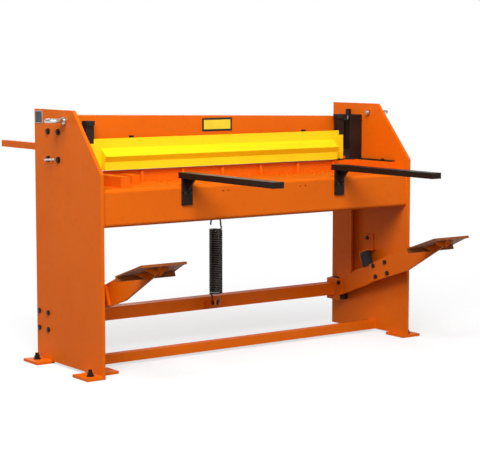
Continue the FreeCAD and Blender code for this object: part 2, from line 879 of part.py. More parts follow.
def bed():
    web = bed_back - bed_web
    outline = [(bed_face, shelf_top), (bed_face, bed_top), (bed_back, bed_top),
               (bed_back, bed_bottom), (web, bed_bottom), (web, shelf_top)]
    beam = slab("bed", "yz", outline, -inner_half, 2 * inner_half)
    step_y = (bed_face, bed_back)
    step_z = (bed_low_top, bed_top)
    middle = inner_half - bed_end
    steps = [block(x, step_y, step_z) for x in ((-inner_half, -middle), (middle, inner_half))]
    holes = screw_holes(lower_screw_places(), cut_plane, -1)
    tapped = guard_bolt_radius + thread_clearance
    holes.extend(rod("z", tapped, (side * guard_bolt_x, bed_face + guard_bolt_back,
                                   bed_low_top - guard_bolt_grip), guard_bolt_grip)
                 for side in (-1, 1))
    node(without("bed_beam", beam, *steps, *holes))


def bed_ribs():
    high = bed_top - rib_below
    ribs = []
    for index in range(6):
        outline = [(bed_face, shelf_top), (bed_face, high), (bed_face - rib_depth, high),
                   (bed_face - rib_foot, shelf_top)]
        start = index * rib_pitch - rib_first - rib_thickness / 2
        ribs.append(slab("rib", "yz", outline, start, rib_thickness))
    node(together("bed_ribs", *ribs))


def lower_blade():
    half = blade_length / 2
    bar = block((-half, half), (bed_back, cut_plane), (bed_top - blade_height, bed_top))
    holes = screw_holes(lower_screw_places(), cut_plane, -1)
    node(without("lower_blade", bar, *holes))
    blade_screws("lower_blade_screws", lower_screw_places(), cut_plane, -1)


def rest_bar(side, width, near, height):
    """A bar on the left end of the shelf, from its front end back to the bed."""
    top = shelf_top + height
    outline = [(near, shelf_top), (near, top), (bed_face, top), (bed_face, shelf_top)]
    return slab("rest_bar", "yz", outline, side - inner_half, width)


def table_rests():
    outer = rest_bar(rest_side, rest_width, front + rest_front, rest_height)
    inner = rest_bar(stop_bar_side, stop_bar_width, front + stop_bar_front, stop_bar_height)
    node(together("table_rests", outer, inner))


def squaring_gauge():
    """A block and a strip on the right end of the table; gives back the strip's bolt."""
    near = front + gauge_block_front
    top = bed_low_top
    strip_x = (inner_half - gauge_strip_width, inner_half)
    base = block((inner_half - gauge_block_width, inner_half), (near, bed_face),
                 (shelf_top, top))
    bolt_x = inner_half - gauge_strip_width / 2
    bolt_y = near + gauge_strip_bolt
    tapped = arm_bolt_radius + thread_clearance
    hole = rod("z", tapped, (bolt_x, bolt_y, top - strip_bolt_grip), strip_bolt_grip)
    node(without("gauge_block", base, hole))
    strip = block(strip_x, (near, guide_front - gauge_strip_gap), (top, top + gauge_strip))
    through = rod("z", tapped, (bolt_x, bolt_y, top), gauge_strip)
    node(without("squaring_strip", strip, through))
    head = hexagon("z", arm_bolt_flats, (bolt_x, bolt_y, top + gauge_strip), arm_bolt_head)
    shank = rod("z", arm_bolt_radius, (bolt_x, bolt_y, top - strip_bolt_grip + blind_play),
                strip_bolt_grip + gauge_strip - blind_play)
    return fused("strip_bolt", head, shank)


# Support arms

def support_arms():
    low = arm_top - arm_height
    face = front + apron_back
    left, right = arm_offset - arm_width / 2, arm_offset + arm_width / 2
    bar = block((left, right), (front - arm_reach, front + arm_overlap), (low, arm_top))
    plate = block((left, right), (face - arm_plate, face), (arm_plate_bottom, low))
    brace = [(face - arm_plate, low), (face - arm_plate - arm_gusset, low),
             (face - arm_plate, low - arm_gusset)]
    gusset = slab("gusset", "yz", brace, arm_offset - arm_plate / 2, arm_plate)
    clear = arm_bolt_radius + thread_clearance
    holes = [rod("y", clear, (arm_offset + side * arm_bolt_pitch / 2, face - arm_plate,
                              arm_bolt_height), arm_plate) for side in (-1, 1)]
    twins("support_arms", without("arm", fused("arm_form", bar, plate, gusset), *holes))


def small_bolts(strip_bolt):
    """Small hex bolts: two in each support arm, one in each bracket of the guard."""
    face = front + apron_back - arm_plate
    bolts = []
    for side in (-1, 1):
        x = arm_offset + side * arm_bolt_pitch / 2
        head = hexagon("y", arm_bolt_flats, (x, face - arm_bolt_head, arm_bolt_height),
                       arm_bolt_head)
        shank = rod("y", arm_bolt_radius, (x, face, arm_bolt_height),
                    arm_plate + table_sheet)
        bolts.append(fused("arm_bolt", head, shank))
    place_y = bed_face + guard_bolt_back
    head = hexagon("z", guard_bolt_flats, (guard_bolt_x, place_y, bed_low_top + guard_bracket),
                   guard_bolt_head)
    shank = rod("z", guard_bolt_radius, (guard_bolt_x, place_y, bed_low_top - guard_bolt_grip),
                guard_bolt_grip + guard_bracket)
    bolts.append(fused("guard_bolt", head, shank))
    images = [mirrored("bolt_image", bolt) for bolt in bolts]
    node(together("small_bolts", *bolts, *images, strip_bolt))


# Guides, gibs and the parts on the outside of the plates

def guides():
    groove = slider_width / 2 + slide_fit
    depth = slider_reach + slider_play
    y = (guide_front, guide_front + guide_width)
    z = (guide_bottom, guide_top)
    body = block((guide_inner, inner_half), y, z)
    cap = block((guide_inner - gib_cap, inner_half), y, (guide_top, guide_top + gib_cap))
    cover = block((inner_half - guide_cover_width, inner_half),
                  (guide_front, guide_front + guide_cover), z)
    slot = block((guide_inner, guide_inner + depth),
                 (guide_line - groove, guide_line + groove + gib_thickness), z)
    tapped = frame_bolt_radius + thread_clearance
    grip = frame_bolt_grip - plate_thickness
    holes = [rod("x", tapped, (inner_half - grip, by, bz), grip)
             for by, bz in guide_bolt_places()]
    stud_depth = stud_grip + thread_clearance
    holes.append(rod("x", stud_radius + thread_clearance,
                     (inner_half - stud_depth, guide_line, guide_bottom + guide_bolt_low),
                     stud_depth))
    x = guide_inner + guide_thickness / 2
    screw_y = guide_line + gib_screw_back
    holes.append(rod("z", gib_screw_radius + thread_clearance,
                     (x, screw_y, guide_top - gib_screw_grip), gib_screw_grip + gib_cap))
    form = fused("guide_form", without("channel", body, slot), cap, cover)
    twins("guides", without("guide", form, *holes))


def gibs():
    y = guide_line + slider_width / 2 + slide_fit
    gib = block((guide_inner + slide_fit, guide_inner + slider_reach + slider_play),
                (y, y + gib_thickness), (guide_bottom, guide_top))
    twins("gibs", gib)
    x = guide_inner + guide_thickness / 2
    screw_y = guide_line + gib_screw_back
    head = hexagon("z", gib_screw_flats, (x, screw_y, guide_top + gib_cap), gib_screw_head)
    shank = rod("z", gib_screw_radius, (x, screw_y, guide_top - gib_screw_grip),
                gib_screw_grip + gib_cap)
    twins("gib_screws", fused("gib_screw", head, shank))


def frame_bolts():
    bolts = [bolt_out(y, z) for y, z in bearing_bolt_places()]
    for y, z in guide_bolt_places():
        flange = rod("x", guide_bolt_flange, (half_width, y, z), guide_bolt_flange_sheet)
        bolts.append(fused("flanged_bolt", flange, bolt_out(y, z, guide_bolt_flange_sheet)))
    y, z = stop_bolt_place()
    tab = inner_half - stop_bracket
    head = hexagon("x", frame_bolt_flats, (tab - frame_bolt_head, y, z), frame_bolt_head)
    shank = rod("x", frame_bolt_radius, (tab, y, z), stop_bracket + stop_bolt_depth - blind_play)
    bolts.append(fused("stop_bolt", head, shank))
    twins("frame_bolts", *bolts)


def guide_studs():
    start = (inner_half - stud_grip, guide_line, guide_bottom + guide_bolt_low)
    stud = rod("x", stud_radius, start, stud_grip + plate_thickness + stud_reach)
    twins("guide_studs", stud)


def eye_bolts():
    y, z = eye_y, eye_z
    centre = half_width + eye_neck + eye_ring
    ring = add("Part::Torus", "ring")
    bind(ring, Radius1=eye_ring, Radius2=eye_wire)
    place(ring, centre, y, z)
    collar = rod("x", eye_collar, (half_width, y, z), eye_collar_length)
    neck = rod("x", eye_wire, (half_width, y, z), eye_neck)
    start = inner_half - eye_nut_length - eye_thread
    shank = rod("x", eye_shank, (start, y, z), half_width - start)
    bolt = fused("eye_bolt", ring, collar, neck, shank)
    nut_body = hexagon("x", eye_nut_flats, (inner_half - eye_nut_length, y, z),
                       eye_nut_length)
    bore = rod("x", eye_shank + thread_clearance, (inner_half - eye_nut_length, y, z),
               eye_nut_length)
    twins("eye_bolts", bolt, without("eye_nut", nut_body, bore))


# Finger guard and its brackets

def guard_body(label, shift):
    """The guard's folded front, its outside moved in by a shift."""
    ridge = guard_rear - guard_ridge_fore
    foot = guard_rear - guard_foot_fore + shift
    steep = (guard_bend - guard_ridge) / (guard_ridge_fore - guard_sheet)
    lift = guard_bend + steep * (guard_sheet - shift)
    profile = [(guard_rear, lift), (ridge + shift, guard_ridge), (foot, guard_under),
               (foot, guard_bottom), (guard_rear, guard_bottom)]
    half = guard_half - shift
    return slab(label, "yz", profile, -half, 2 * half)


def guard():
    face = guard_rear - guard_sheet
    plate = block((-guard_plate_half, guard_plate_half), (face, guard_rear),
                  (guard_bottom, guard_top))
    room = block((-guard_half, guard_half), (guard_rear - guard_ridge_fore, face),
                 (guard_bottom, guard_top))
    hollow = both("guard_hollow", guard_body("guard_inner", guard_sheet), room)
    corners = [block(x, (face, guard_rear), (guard_corner_low, guard_top))
               for x in ((-guard_plate_half, -guard_corner), (guard_corner, guard_plate_half))]
    form = fused("guard_form", plate, guard_body("guard_outer", 0))
    node(without("guard", form, hollow, *corners))


def guard_brackets():
    """Angles that carry the guard's ends on the bed."""
    x = (guard_bracket_x, guard_bracket_x + guard_bracket_width)
    end = guard_rear + guard_bracket
    foot = block(x, (bed_face, end), (bed_low_top, bed_low_top + guard_bracket))
    leg = block(x, (guard_rear, end), (bed_low_top, bed_low_top + guard_bracket_height))
    hole = rod("z", guard_bolt_radius + thread_clearance,
               (guard_bolt_x, bed_face + guard_bolt_back, bed_low_top), guard_bracket)
    twins("guard_brackets", without("bracket", fused("bracket_form", foot, leg), hole))


# Bearings of the treadle

def bearings():
    x = inner_half - bearing_thickness
    near, far = pivot_y - bearing_width / 2, pivot_y + bearing_width / 2
    low, high = pivot_height - bearing_below, pivot_height + bearing_above
    outline = [(near, low), (far, low), (far, high), (near, high)]
    bush = shaft_radius + bearing_fit + bush_wall
    tapped = frame_bolt_radius + thread_clearance
    holes = [(pivot_y, pivot_height, bush + thread_clearance)]
    holes.extend((y, z, tapped) for y, z in bearing_bolt_places())
    housing = slab("housing", "yz", outline, x, bearing_thickness, holes,
                   [(outline, bearing_corner)])
    twins("bearing_housings", housing)
    ring = without("bush", rod("x", bush, (x, pivot_y, pivot_height), bearing_thickness),
                   rod("x", shaft_radius + bearing_fit, (x, pivot_y, pivot_height),
                       bearing_thickness))
    twins("bearing_bushes", ring)


# Rubber stops above the rear levers

def sloped_block(x, along, above):
    """A box on the sloped upper edge of the rear lever, about the stop's middle."""
    thing = add("Part::Box", "block")
    bind(thing, Length=x[1] - x[0], Width=along[1] - along[0], Height=above[1] - above[0])
    y = stop_y + along[0] * stop_cos + above[0] * stop_sin
    z = stop_z - along[0] * stop_sin + above[0] * stop_cos
    return place(thing, x[0], y, z, (1, 0, 0), slope_angle(-stop_rise, stop_run))


def stops():
    middle = (lever_inner + lever_outer) / 2 - stop_shift
    x = (middle - stop_width / 2, middle + stop_width / 2)
    half = stop_length / 2
    top = stop_gap + stop_height
    twins("rubber_stops", sloped_block(x, (-half, half), (stop_gap, top)))
    wide = (x[0], inner_half)
    roof = sloped_block(wide, (-half, half + stop_bracket), (top, top + stop_bracket))
    lip = sloped_block(wide, (half, half + stop_bracket), (top - stop_lip, top))
    y, z = stop_bolt_place()
    low = stop_z + top * stop_cos
    tab = block((inner_half - stop_bracket, inner_half), (y - 2 * stop_tab, y + stop_tab),
                (low, z + stop_tab))
    hole = rod("x", frame_bolt_radius + thread_clearance,
               (inner_half - stop_bracket, y, z), stop_bracket)
    bracket = without("stop_bracket", fused("stop_bracket_form", roof, lip, tab), hole)
    twins("stop_brackets", bracket)


# Spring hanger and blank label plates

def spring_hanger():
    low = hanger_hole_z - hanger_rim
    rear = spring_y + hanger_rim + spring_wire / 2
    outline = [(bed_back, bed_bottom), (spring_y - hanger_rim, low), (rear, low),
               (rear, hanger_hole_z + hanger_rim), (bed_back, hanger_top)]
    hole = (spring_y, hanger_hole_z, hanger_hole)
    node(slab("spring_hanger", "yz", outline, -hanger_thickness / 2, hanger_thickness,
              [hole]))


def label_plates():
    top = plate_top - side_label_margin
    rear = back - side_label_margin
    node(block((-half_width - label_sheet, -half_width), (rear - side_label_width, rear),
               (top - side_label_height, top), "side_label_plate"))
    node(block((-label_width / 2, label_width / 2), (ram_front - label_sheet, ram_front),
               (label_bottom, label_bottom + label_height), "ram_label_plate"))


# Ram: raked beam, sliders, legs, upper blade and the carriers of the hold-down

def raked(label, half, low, high, start, thickness):
    """A plate that rises with the rake, between two heights above the cutting edge."""
    outline = [(-half, edge_at(-half) + low), (half, edge_at(half) + low),
               (half, edge_at(half) + high), (-half, edge_at(-half) + high)]
    return slab(label, "xz", outline, start, thickness)


def ram_beam():
    half = ram_half
    top = blade_showing + ram_height
    low = box_floor
    rear = ram_front + ram_plate
    flange = ram_flange_depth + ram_flange
    pieces = [raked("front", half, blade_showing, top, ram_front, ram_plate),
              raked("roof", half, top - ram_flange, top, rear, flange),
              raked("floor", half, low, low + ram_flange, rear, flange),
              raked("rear", half, low + ram_flange, top - ram_flange,
                    rear + ram_flange_depth, ram_flange)]
    block_z = (guide_bottom + slider_low, guide_bottom + slider_low + slider_length)
    for side in ((-half - ram_end, -half), (half, half + ram_end)):
        pieces.append(block(side, (ram_front, rear + flange), block_z))
    holes = screw_holes(upper_screw_places(), cut_plane + blade_gap, 1)
    node(without("ram_beam", fused("ram_form", *pieces), *holes))


def upper_blade():
    half = blade_length / 2
    bar = raked("blade", half, 0, blade_height, cut_plane + blade_gap, blade_thickness)
    holes = screw_holes(upper_screw_places(), cut_plane + blade_gap, 1)
    node(without("upper_blade", bar, *holes))
    blade_screws("upper_blade_screws", upper_screw_places(), cut_plane + blade_gap, 1)


def ram_sliders():
    outer = guide_inner - slider_side_gap
    low = guide_bottom + slider_low
    z = (low, low + slider_length)
    body = block((outer - slider_block, outer),
                 (guide_line - slider_width, guide_line + slider_width), z)
    half = slider_width / 2
    tongue = block((outer, guide_inner + slider_reach),
                   (guide_line - half, guide_line + half), z)
    twins("ram_sliders", fused("slider", body, tongue))


def ram_legs():
    z = (ram_pin_height - ram_leg_below, guide_bottom + slider_low)
    half = ram_leg_width / 2
    x = (lever_inner - ram_leg_lean, lever_inner - ram_leg_lean + lever_thickness)
    leg = block(x, (link_y - half, link_y + half), z)
    hole = rod("x", ram_pin_radius + thread_clearance, (x[0], link_y, ram_pin_height),
               lever_thickness)
    twins("ram_legs", without("leg", leg, hole))
    twins("ram_pins", capped_pin(x[0], ram_pin_radius, link_y, ram_pin_height))


def capped_pin(start, radius, y, z):
    """A pin along X that ends in a cap outside the link."""
    cap_start = link_outer + pin_cap_gap
    pin = rod("x", radius, (start, y, z), cap_start - start)
    cap = rod("x", pin_cap_radius, (cap_start, y, z), pin_cap)
    return fused("pin", pin, cap)


def hold_down_housings():
    reach = rod_radius + rod_fit
    wide, deep = post_width / 2, post_depth / 2
    housing = block((post_x - wide, post_x + wide), (post_y - deep, post_y + deep),
                    (post_bottom, post_top - post_cap_height))
    arm = block((post_x - post_arm / 2, post_x + post_arm / 2), (post_y, ram_front),
                (post_arm_low, post_arm_high))
    bore = rod("z", reach, (post_x, post_y, post_bottom), post_top - post_bottom)
    twins("hold_down_housings", without("housing", fused("housing_form", housing, arm),
                                        bore))
    cap = rod("z", post_cap_radius, (post_x, post_y, post_top - post_cap_height),
              post_cap_height)
    hollow = rod("z", reach, (post_x, post_y, post_top - post_cap_height),
                 post_cap_height - post_cap_solid)
    twins("housing_caps", without("cap", cap, hollow))


def pin_brackets():
    low = pin_bracket_top - pin_bracket
    shelf = block((pin_x - pin_bracket_half, pin_x + pin_bracket_half),
                  (pin_y - pin_bracket_rim, ram_front), (low, pin_bracket_top))
    hole = rod("z", pin_radius + hole_clearance, (pin_x, pin_y, low), pin_bracket)
    twins("pin_brackets", without("pin_bracket", shelf, hole))


def gauge_arms():
    half = gauge_arm_size / 2
    start = ram_front + ram_plate
    twins("gauge_arms", block((gauge_arm_x - half, gauge_arm_x + half),
                              (start, back + gauge_reach),
                              (gauge_arm_z - half, gauge_arm_z + half)))


# Hold-down bar with its rods and pins

def hold_down():
    foot = block((-hold_half, hold_half), (hold_near, hold_far),
                 (hold_bottom, hold_bottom + hold_foot))
    web = block((-hold_half, hold_half), (hold_far - hold_web, hold_far),
                (hold_bottom, hold_bottom + hold_height))
    holes = []
    for side in (-1, 1):
        holes.append(rod("z", rod_radius + thread_clearance,
                         (side * post_x, post_y, hold_bottom), hold_foot))
        holes.append(rod("z", pin_radius + thread_clearance,
                         (side * pin_x, pin_y, hold_bottom), hold_foot))
    node(without("hold_down_bar", fused("bar_form", foot, web), *holes))
    twins("hold_down_rods", rod("z", rod_radius, (post_x, post_y, hold_bottom),
                                rod_top - hold_bottom))
    pin = rod("z", pin_radius, (pin_x, pin_y, hold_bottom),
              pin_bracket_top - hold_bottom)
    head = rod("z", pin_head_radius, (pin_x, pin_y, pin_bracket_top),
               pin_head_height)
    twins("hold_down_pins", fused("hold_down_pin", pin, head))


# Back gauge on its two arms

def back_gauge():
    y = gauge_y
    half = gauge_arm_size / 2 + carrier_fit
    outer = half + carrier_wall
    inside = gauge_arm_x - outer
    low = gauge_arm_z - outer
    upright = block((-inside, inside), (y, y + gauge_bar_sheet), (low, low + gauge_bar_size))
    ledge = block((-inside, inside), (y, y + gauge_bar_size), (low, low + gauge_bar_sheet))
    node(fused("gauge_bar", upright, ledge))
    sleeve = block((inside, gauge_arm_x + outer), (y, y + carrier_length),
                   (low, gauge_arm_z + outer))
    bore = block((gauge_arm_x - half, gauge_arm_x + half), (y, y + carrier_length),
                 (gauge_arm_z - half, gauge_arm_z + half))
    place_y = y + carrier_length / 2
    tip = gauge_arm_z + half + clamp_lift
    hole = rod("z", clamp_radius + thread_clearance, (gauge_arm_x, place_y,
                                                      gauge_arm_z + half),
               carrier_wall)
    twins("gauge_carriers", without("carrier", sleeve, bore, hole))
    shank = rod("z", clamp_radius, (gauge_arm_x, place_y, tip), carrier_wall)
    head = rod("z", clamp_head_radius, (gauge_arm_x, place_y, tip + carrier_wall),
               clamp_head)
    twins("gauge_clamp_screws", fused("clamp_screw", shank, head))


# Treadle

def crossbar():
    half = crossbar_size / 2
    node(tube("crossbar", (-front_lever_inner, front_lever_inner),
              (pivot_y - half, pivot_y + half), (pivot_height - half, pivot_height + half),
              crossbar_wall))


def shaft_hubs():
    """Heel plates that close the crossbar's ends, each with a plug and a stub shaft."""
    low = pivot_height - lever_low
    neck = pivot_y - lever_neck_y
    rise = (lap_front_low + lever_low) / (lap_front - lever_heel)
    bottom = pivot_height - hub_low
    outline = [(pivot_y + lever_tail, bottom),
               (pivot_y + lever_tail, pivot_height + lever_tail_top),
               (neck, pivot_height + lever_neck_z),
               (neck, low + rise * (lever_neck_y - lever_heel)),
               (pivot_y - lever_heel, low), (pivot_y - lever_heel + hub_lip, bottom)]
    hole = (*hub_bolt_place(), frame_bolt_radius + thread_clearance)
    heel = slab("heel", "yz", outline, front_lever_inner, lever_thickness, [hole])
    half = crossbar_size / 2 - crossbar_wall
    plug = block((front_lever_inner - shaft_plug, front_lever_inner),
                 (pivot_y - half, pivot_y + half), (pivot_height - half, pivot_height + half))
    shaft = rod("x", shaft_radius, (lever_inner, pivot_y, pivot_height),
                shaft_end - lever_inner)
    twins("shaft_hubs", fused("hub", heel, plug, shaft))


def hub_bolt_place():
    return pivot_y - hub_bolt_y, pivot_height + hub_bolt_z


def lap_bolt_places():
    """The four bolts that join the two levers of one side."""
    places = []
    for step in (0, 1):
        y = pivot_y - lap_bolt_near - step * lap_bolt_pitch
        z = pivot_height + lap_bolt_middle + step * lap_bolt_rise
        places.append((y + lap_bolt_lean, z + lap_bolt_half))
        places.append((y - lap_bolt_lean, z - lap_bolt_half))
    return places


def rear_levers():
    low = pivot_height - lever_low
    outline = [(pivot_y + lever_tail, low), (pivot_y + lever_tail, pivot_height
                                             + lever_tail_top),
               (pivot_y - lever_neck_y, pivot_height + lever_neck_z),
               (pivot_y - lever_shoulder_y, pivot_height + lever_shoulder_z),
               (pivot_y - lap_front + lap_slant, pivot_height + lap_front_top),
               (pivot_y - lap_front, pivot_height + lap_front_low),
               (pivot_y - lever_heel, low)]
    tapped = frame_bolt_radius + thread_clearance
    holes = [(y, z, tapped) for y, z in (*lap_bolt_places(), hub_bolt_place())]
    holes.append((pivot_y, pivot_height, shaft_radius + thread_clearance))
    holes.append((*link_pin_place, link_pin_radius + thread_clearance))
    twins("rear_levers", slab("lever", "yz", outline, lever_inner, lever_thickness, holes))


def under_pedal(y):
    """The height of the pedal's underside over one place along Y."""
    drop = pedal_sheet * pedal_slant / pedal_run
    return pedal_height - drop + pedal_rise / pedal_run * (pivot_y - pedal_reach - y)


def front_levers():
    meet = pivot_y - lever_meet_y
    end = pivot_y - lever_end_y
    rear = pivot_y - lap_rear
    outline = [(rear, pivot_height + lap_rear_low), (rear, pivot_height + lap_rear_top),
               (pivot_y - lever_knee_y, pivot_height + lever_knee_top),
               (meet, under_pedal(meet)), (end, under_pedal(end)),
               (pivot_y - lever_tip_y, pivot_height + lever_tip_z),
               (pivot_y - lever_knee_y, pivot_height + lever_knee_low)]
    tapped = frame_bolt_radius + thread_clearance
    holes = [(y, z, tapped) for y, z in lap_bolt_places()]
    twins("front_levers", slab("lever", "yz", outline, front_lever_inner, lever_thickness,
                               holes))


def lever_bolts():
    bolts = []
    for y, z in (*lap_bolt_places(), hub_bolt_place()):
        head = hexagon("x", frame_bolt_flats, (front_lever_inner - frame_bolt_head, y, z),
                       frame_bolt_head)
        shank = rod("x", frame_bolt_radius, (front_lever_inner, y, z), 2 * lever_thickness)
        bolts.append(fused("lever_bolt", head, shank))
    twins("lever_bolts", *bolts)


def on_pedal(thing):
    """Tilt a piece that was drawn flat on to the pedal's place."""
    return place(thing, pedal_x, pivot_y - pedal_reach, pedal_height, (1, 0, 0),
                 slope_angle(-pedal_rise, pedal_run))


def pedal():
    rear, tip = pedal_rear_width / 2, pedal_front_width / 2
    outline = [(-rear, 0), (-tip, -pedal_slant), (tip, -pedal_slant), (rear, 0)]
    tread = slab("tread", "xy", outline, -pedal_sheet, pedal_sheet)
    back_lip = block((-rear, rear), (-pedal_sheet, 0), (-pedal_flange, 0))
    front_lip = block((-tip, tip), (-pedal_slant, pedal_sheet - pedal_slant),
                      (-pedal_lip, 0))
    half = lever_thickness / 2 + weld_gap
    notch = block((-half, half), (-pedal_sheet, 0), (-pedal_flange, -pedal_sheet))
    shell = without("pedal_shell", fused("pedal_form", tread, back_lip, front_lip), notch)
    pair("pedal", on_pedal(shell))


def pedal_gussets():
    side = lever_thickness / 2
    gussets = []
    for y in (pedal_gusset_near, pedal_gusset_far):
        for way in (-1, 1):
            outline = [(way * side, -pedal_sheet), (way * side, -pedal_sheet - pedal_gusset),
                       (way * (side + pedal_gusset_run), -pedal_sheet)]
            gussets.append(slab("gusset", "xz", outline, -y, pedal_sheet))
    twins("pedal_gussets", on_pedal(together("gussets", *gussets)))


def link_pins():
    twins("link_pins", capped_pin(lever_inner, link_pin_radius, *link_pin_place))


def spring_ears():
    half = crossbar_size / 2
    face = pivot_y - half
    tip = spring_y - spring_ear_rim
    outline = [(face, pivot_height - half), (tip, ear_pin_z - spring_ear_rim),
               (tip, ear_pin_z + spring_ear_rim), (face, pivot_height + spring_ear_root)]
    hole = (spring_y, ear_pin_z, spring_pin_radius + thread_clearance)
    twins("spring_ears", slab("ear", "yz", outline, spring_ear_gap / 2, spring_ear, [hole]))
    end = spring_ear_gap / 2 + spring_ear
    pin = rod("x", spring_pin_radius, (-end, spring_y, ear_pin_z), 2 * end)
    heads = [rod("x", spring_pin_head, (start, spring_y, ear_pin_z), spring_pin_grip)
             for start in (-end - spring_pin_grip, end)]
    node(fused("spring_pin", pin, *heads))


# Links between treadle and ram

def link():
    y, z = link_pin_place
    near = link_y - link_fore
    rear = near + link_width
    outline = [(near, z), (near, link_top), (rear, link_top),
               (rear, z + link_shoulder),
               (y + link_toe_y, z - link_toe_z)]
    plate = slab("link_plate", "yz", outline, link_inner, link_thickness)
    boss = rod("x", link_boss, (link_inner, y, z), link_thickness)
    hole = rod("x", link_pin_radius + bearing_fit, (link_inner, y, z), link_thickness)
    reach = ram_pin_radius + ram_pin_fit
    slot = block((link_inner, link_outer), (link_y - ram_pin_slot, link_y + ram_pin_slot),
                 (ram_pin_height - reach, ram_pin_height + reach))
    ends = [rod("x", reach, (link_inner, link_y + side * ram_pin_slot, ram_pin_height),
                link_thickness) for side in (-1, 1)]
    pair("link", without("link", fused("link_form", plate, boss), hole, slot, *ends))


# Return spring: one wound tube with a hook at each end

def tangent_arc(start, corner, end):
    """The arc between two points whose tangents meet at a corner."""
    middle = (start + end) * 0.5
    half = (end - start).Length / 2
    rise = (corner - middle).Length
    height = half * math.tan(math.atan2(rise, half) / 2)
    top = middle + (corner - middle) * (height / rise)
    return Part.Arc(start, top, end).toShape()


def biarc(start, start_way, end, end_way):
    """Two arcs that join two points and leave each along its direction."""
    across = end - start
    along = across.dot(start_way + end_way)
    turn = 2 * (1 - start_way.dot(end_way))
    reach = (math.sqrt(along * along + turn * across.dot(across)) - along) / turn
    first = start + start_way * reach
    second = end - end_way * reach
    middle = (first + second) * 0.5
    return [tangent_arc(start, first, middle), tangent_arc(middle, second, end)]


def coil_point(degrees, radius, low, pitch):
    """A point of the coil and the wire's direction there."""
    angle = math.radians(degrees)
    climb = pitch / (2 * math.pi * radius)
    point = VECTOR(radius * math.cos(angle), radius * math.sin(angle),
                   low + pitch * (degrees - 180) / 360)
    way = VECTOR(-math.sin(angle), math.cos(angle), climb).normalize()
    return point, way


def spring_path(radius, wire, low, turns, pitch):
    """The middle line of the spring, from its lower tip to its upper tip."""
    up = VECTOR(0, 0, 1)
    base = VECTOR(0, radius, low - radius)
    front_side = VECTOR(0, -radius, low - radius)
    bottom = VECTOR(0, 0, low - 2 * radius)
    edges = [Part.makeLine(front_side + up * wire, front_side),
             Part.Arc(front_side, bottom, base).toShape()]
    point, way = coil_point(180, radius, low, pitch)
    edges.extend(biarc(base, up, point, way))
    last = 180 + 360 * turns + 90
    degrees = 180
    while degrees < last:
        following = min(degrees + 180, last)
        end, end_way = coil_point(following, radius, low, pitch)
        edges.extend(biarc(point, way, end, end_way))
        degrees, point, way = following, end, end_way
    high = point.z
    side = VECTOR(radius, 0, high + radius)
    edges.extend(biarc(point, way, side, up))
    crown = VECTOR(0, 0, high + 2 * radius)
    far = VECTOR(-radius, 0, high + radius)
    edges.append(Part.Arc(side, crown, far).toShape())
    edges.append(Part.makeLine(far, far - up * wire))
    return Part.Wire(edges)


def least_gap(path, wire):
    """The least space between two turns of the wire, measured on points."""
    points = path.discretize(Distance=1.5)
    apart = int(4 * wire / 1.5)
    cells = {}
    for index, point in enumerate(points):
        cells.setdefault(int(point.z // 10), []).append((index, point))
    least = math.inf
    for level, members in cells.items():
        near = members + cells.get(level + 1, [])
        for index, point in members:
            for other, place_there in near:
                if abs(other - index) > apart:
                    least = min(least, (point - place_there).Length)
    return least - wire


def return_spring():
    DOC.recompute()
    radius, wire = SHEET.spring_radius, SHEET.spring_wire
    path = spring_path(radius, wire, SHEET.spring_bottom, SHEET.spring_turns,
                       SHEET.spring_pitch)
    start = path.Edges[0].Vertexes[0].Point
    ring = Part.Wire([Part.Circle(start, VECTOR(0, 0, 1), wire / 2).toShape()])
    shell = Part.BRepOffsetAPI.MakePipeShell(path)
    shell.add(ring)
    shell.build()
    shell.makeSolid()
    spring = add("Part::Feature", "return_spring")
    spring.Shape = shell.shape()
    place(spring, y=spring_y)
    print("least gap between the turns", round(least_gap(path, wire), 2))
    node(spring)


# Build every piece, frame first and then the moving bodies

side_plates()
feet()
anchor_studs()
tie_bar()
table_beam()
bed()
bed_ribs()
lower_blade()
table_rests()
squaring_bolt = squaring_gauge()
support_arms()
small_bolts(squaring_bolt)
guides()
gibs()
frame_bolts()
guide_studs()
eye_bolts()
guard()
guard_brackets()
bearings()
stops()
spring_hanger()
label_plates()
ram_beam()
upper_blade()
ram_sliders()
ram_legs()
hold_down_housings()
pin_brackets()
gauge_arms()
hold_down()
back_gauge()
crossbar()
shaft_hubs()
rear_levers()
front_levers()
lever_bolts()
pedal()
pedal_gussets()
link_pins()
spring_ears()
link()
return_spring()

# Check every object and write each piece to its own file

DOC.recompute()
for thing in DOC.Objects:
    if "Invalid" in thing.State or "Error" in thing.State:
        raise RuntimeError(f"{thing.Label} is {thing.State}")
for piece in NODES:
    if piece.Shape.isNull() or not piece.Shape.isValid():
        raise RuntimeError(f"{piece.Label} has no valid shape")

os.makedirs("parts", exist_ok=True)
for piece in NODES:
    piece.Shape.exportStep(f"parts/{piece.Label}.step")
print(len(NODES), "pieces written")
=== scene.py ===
import json
import math

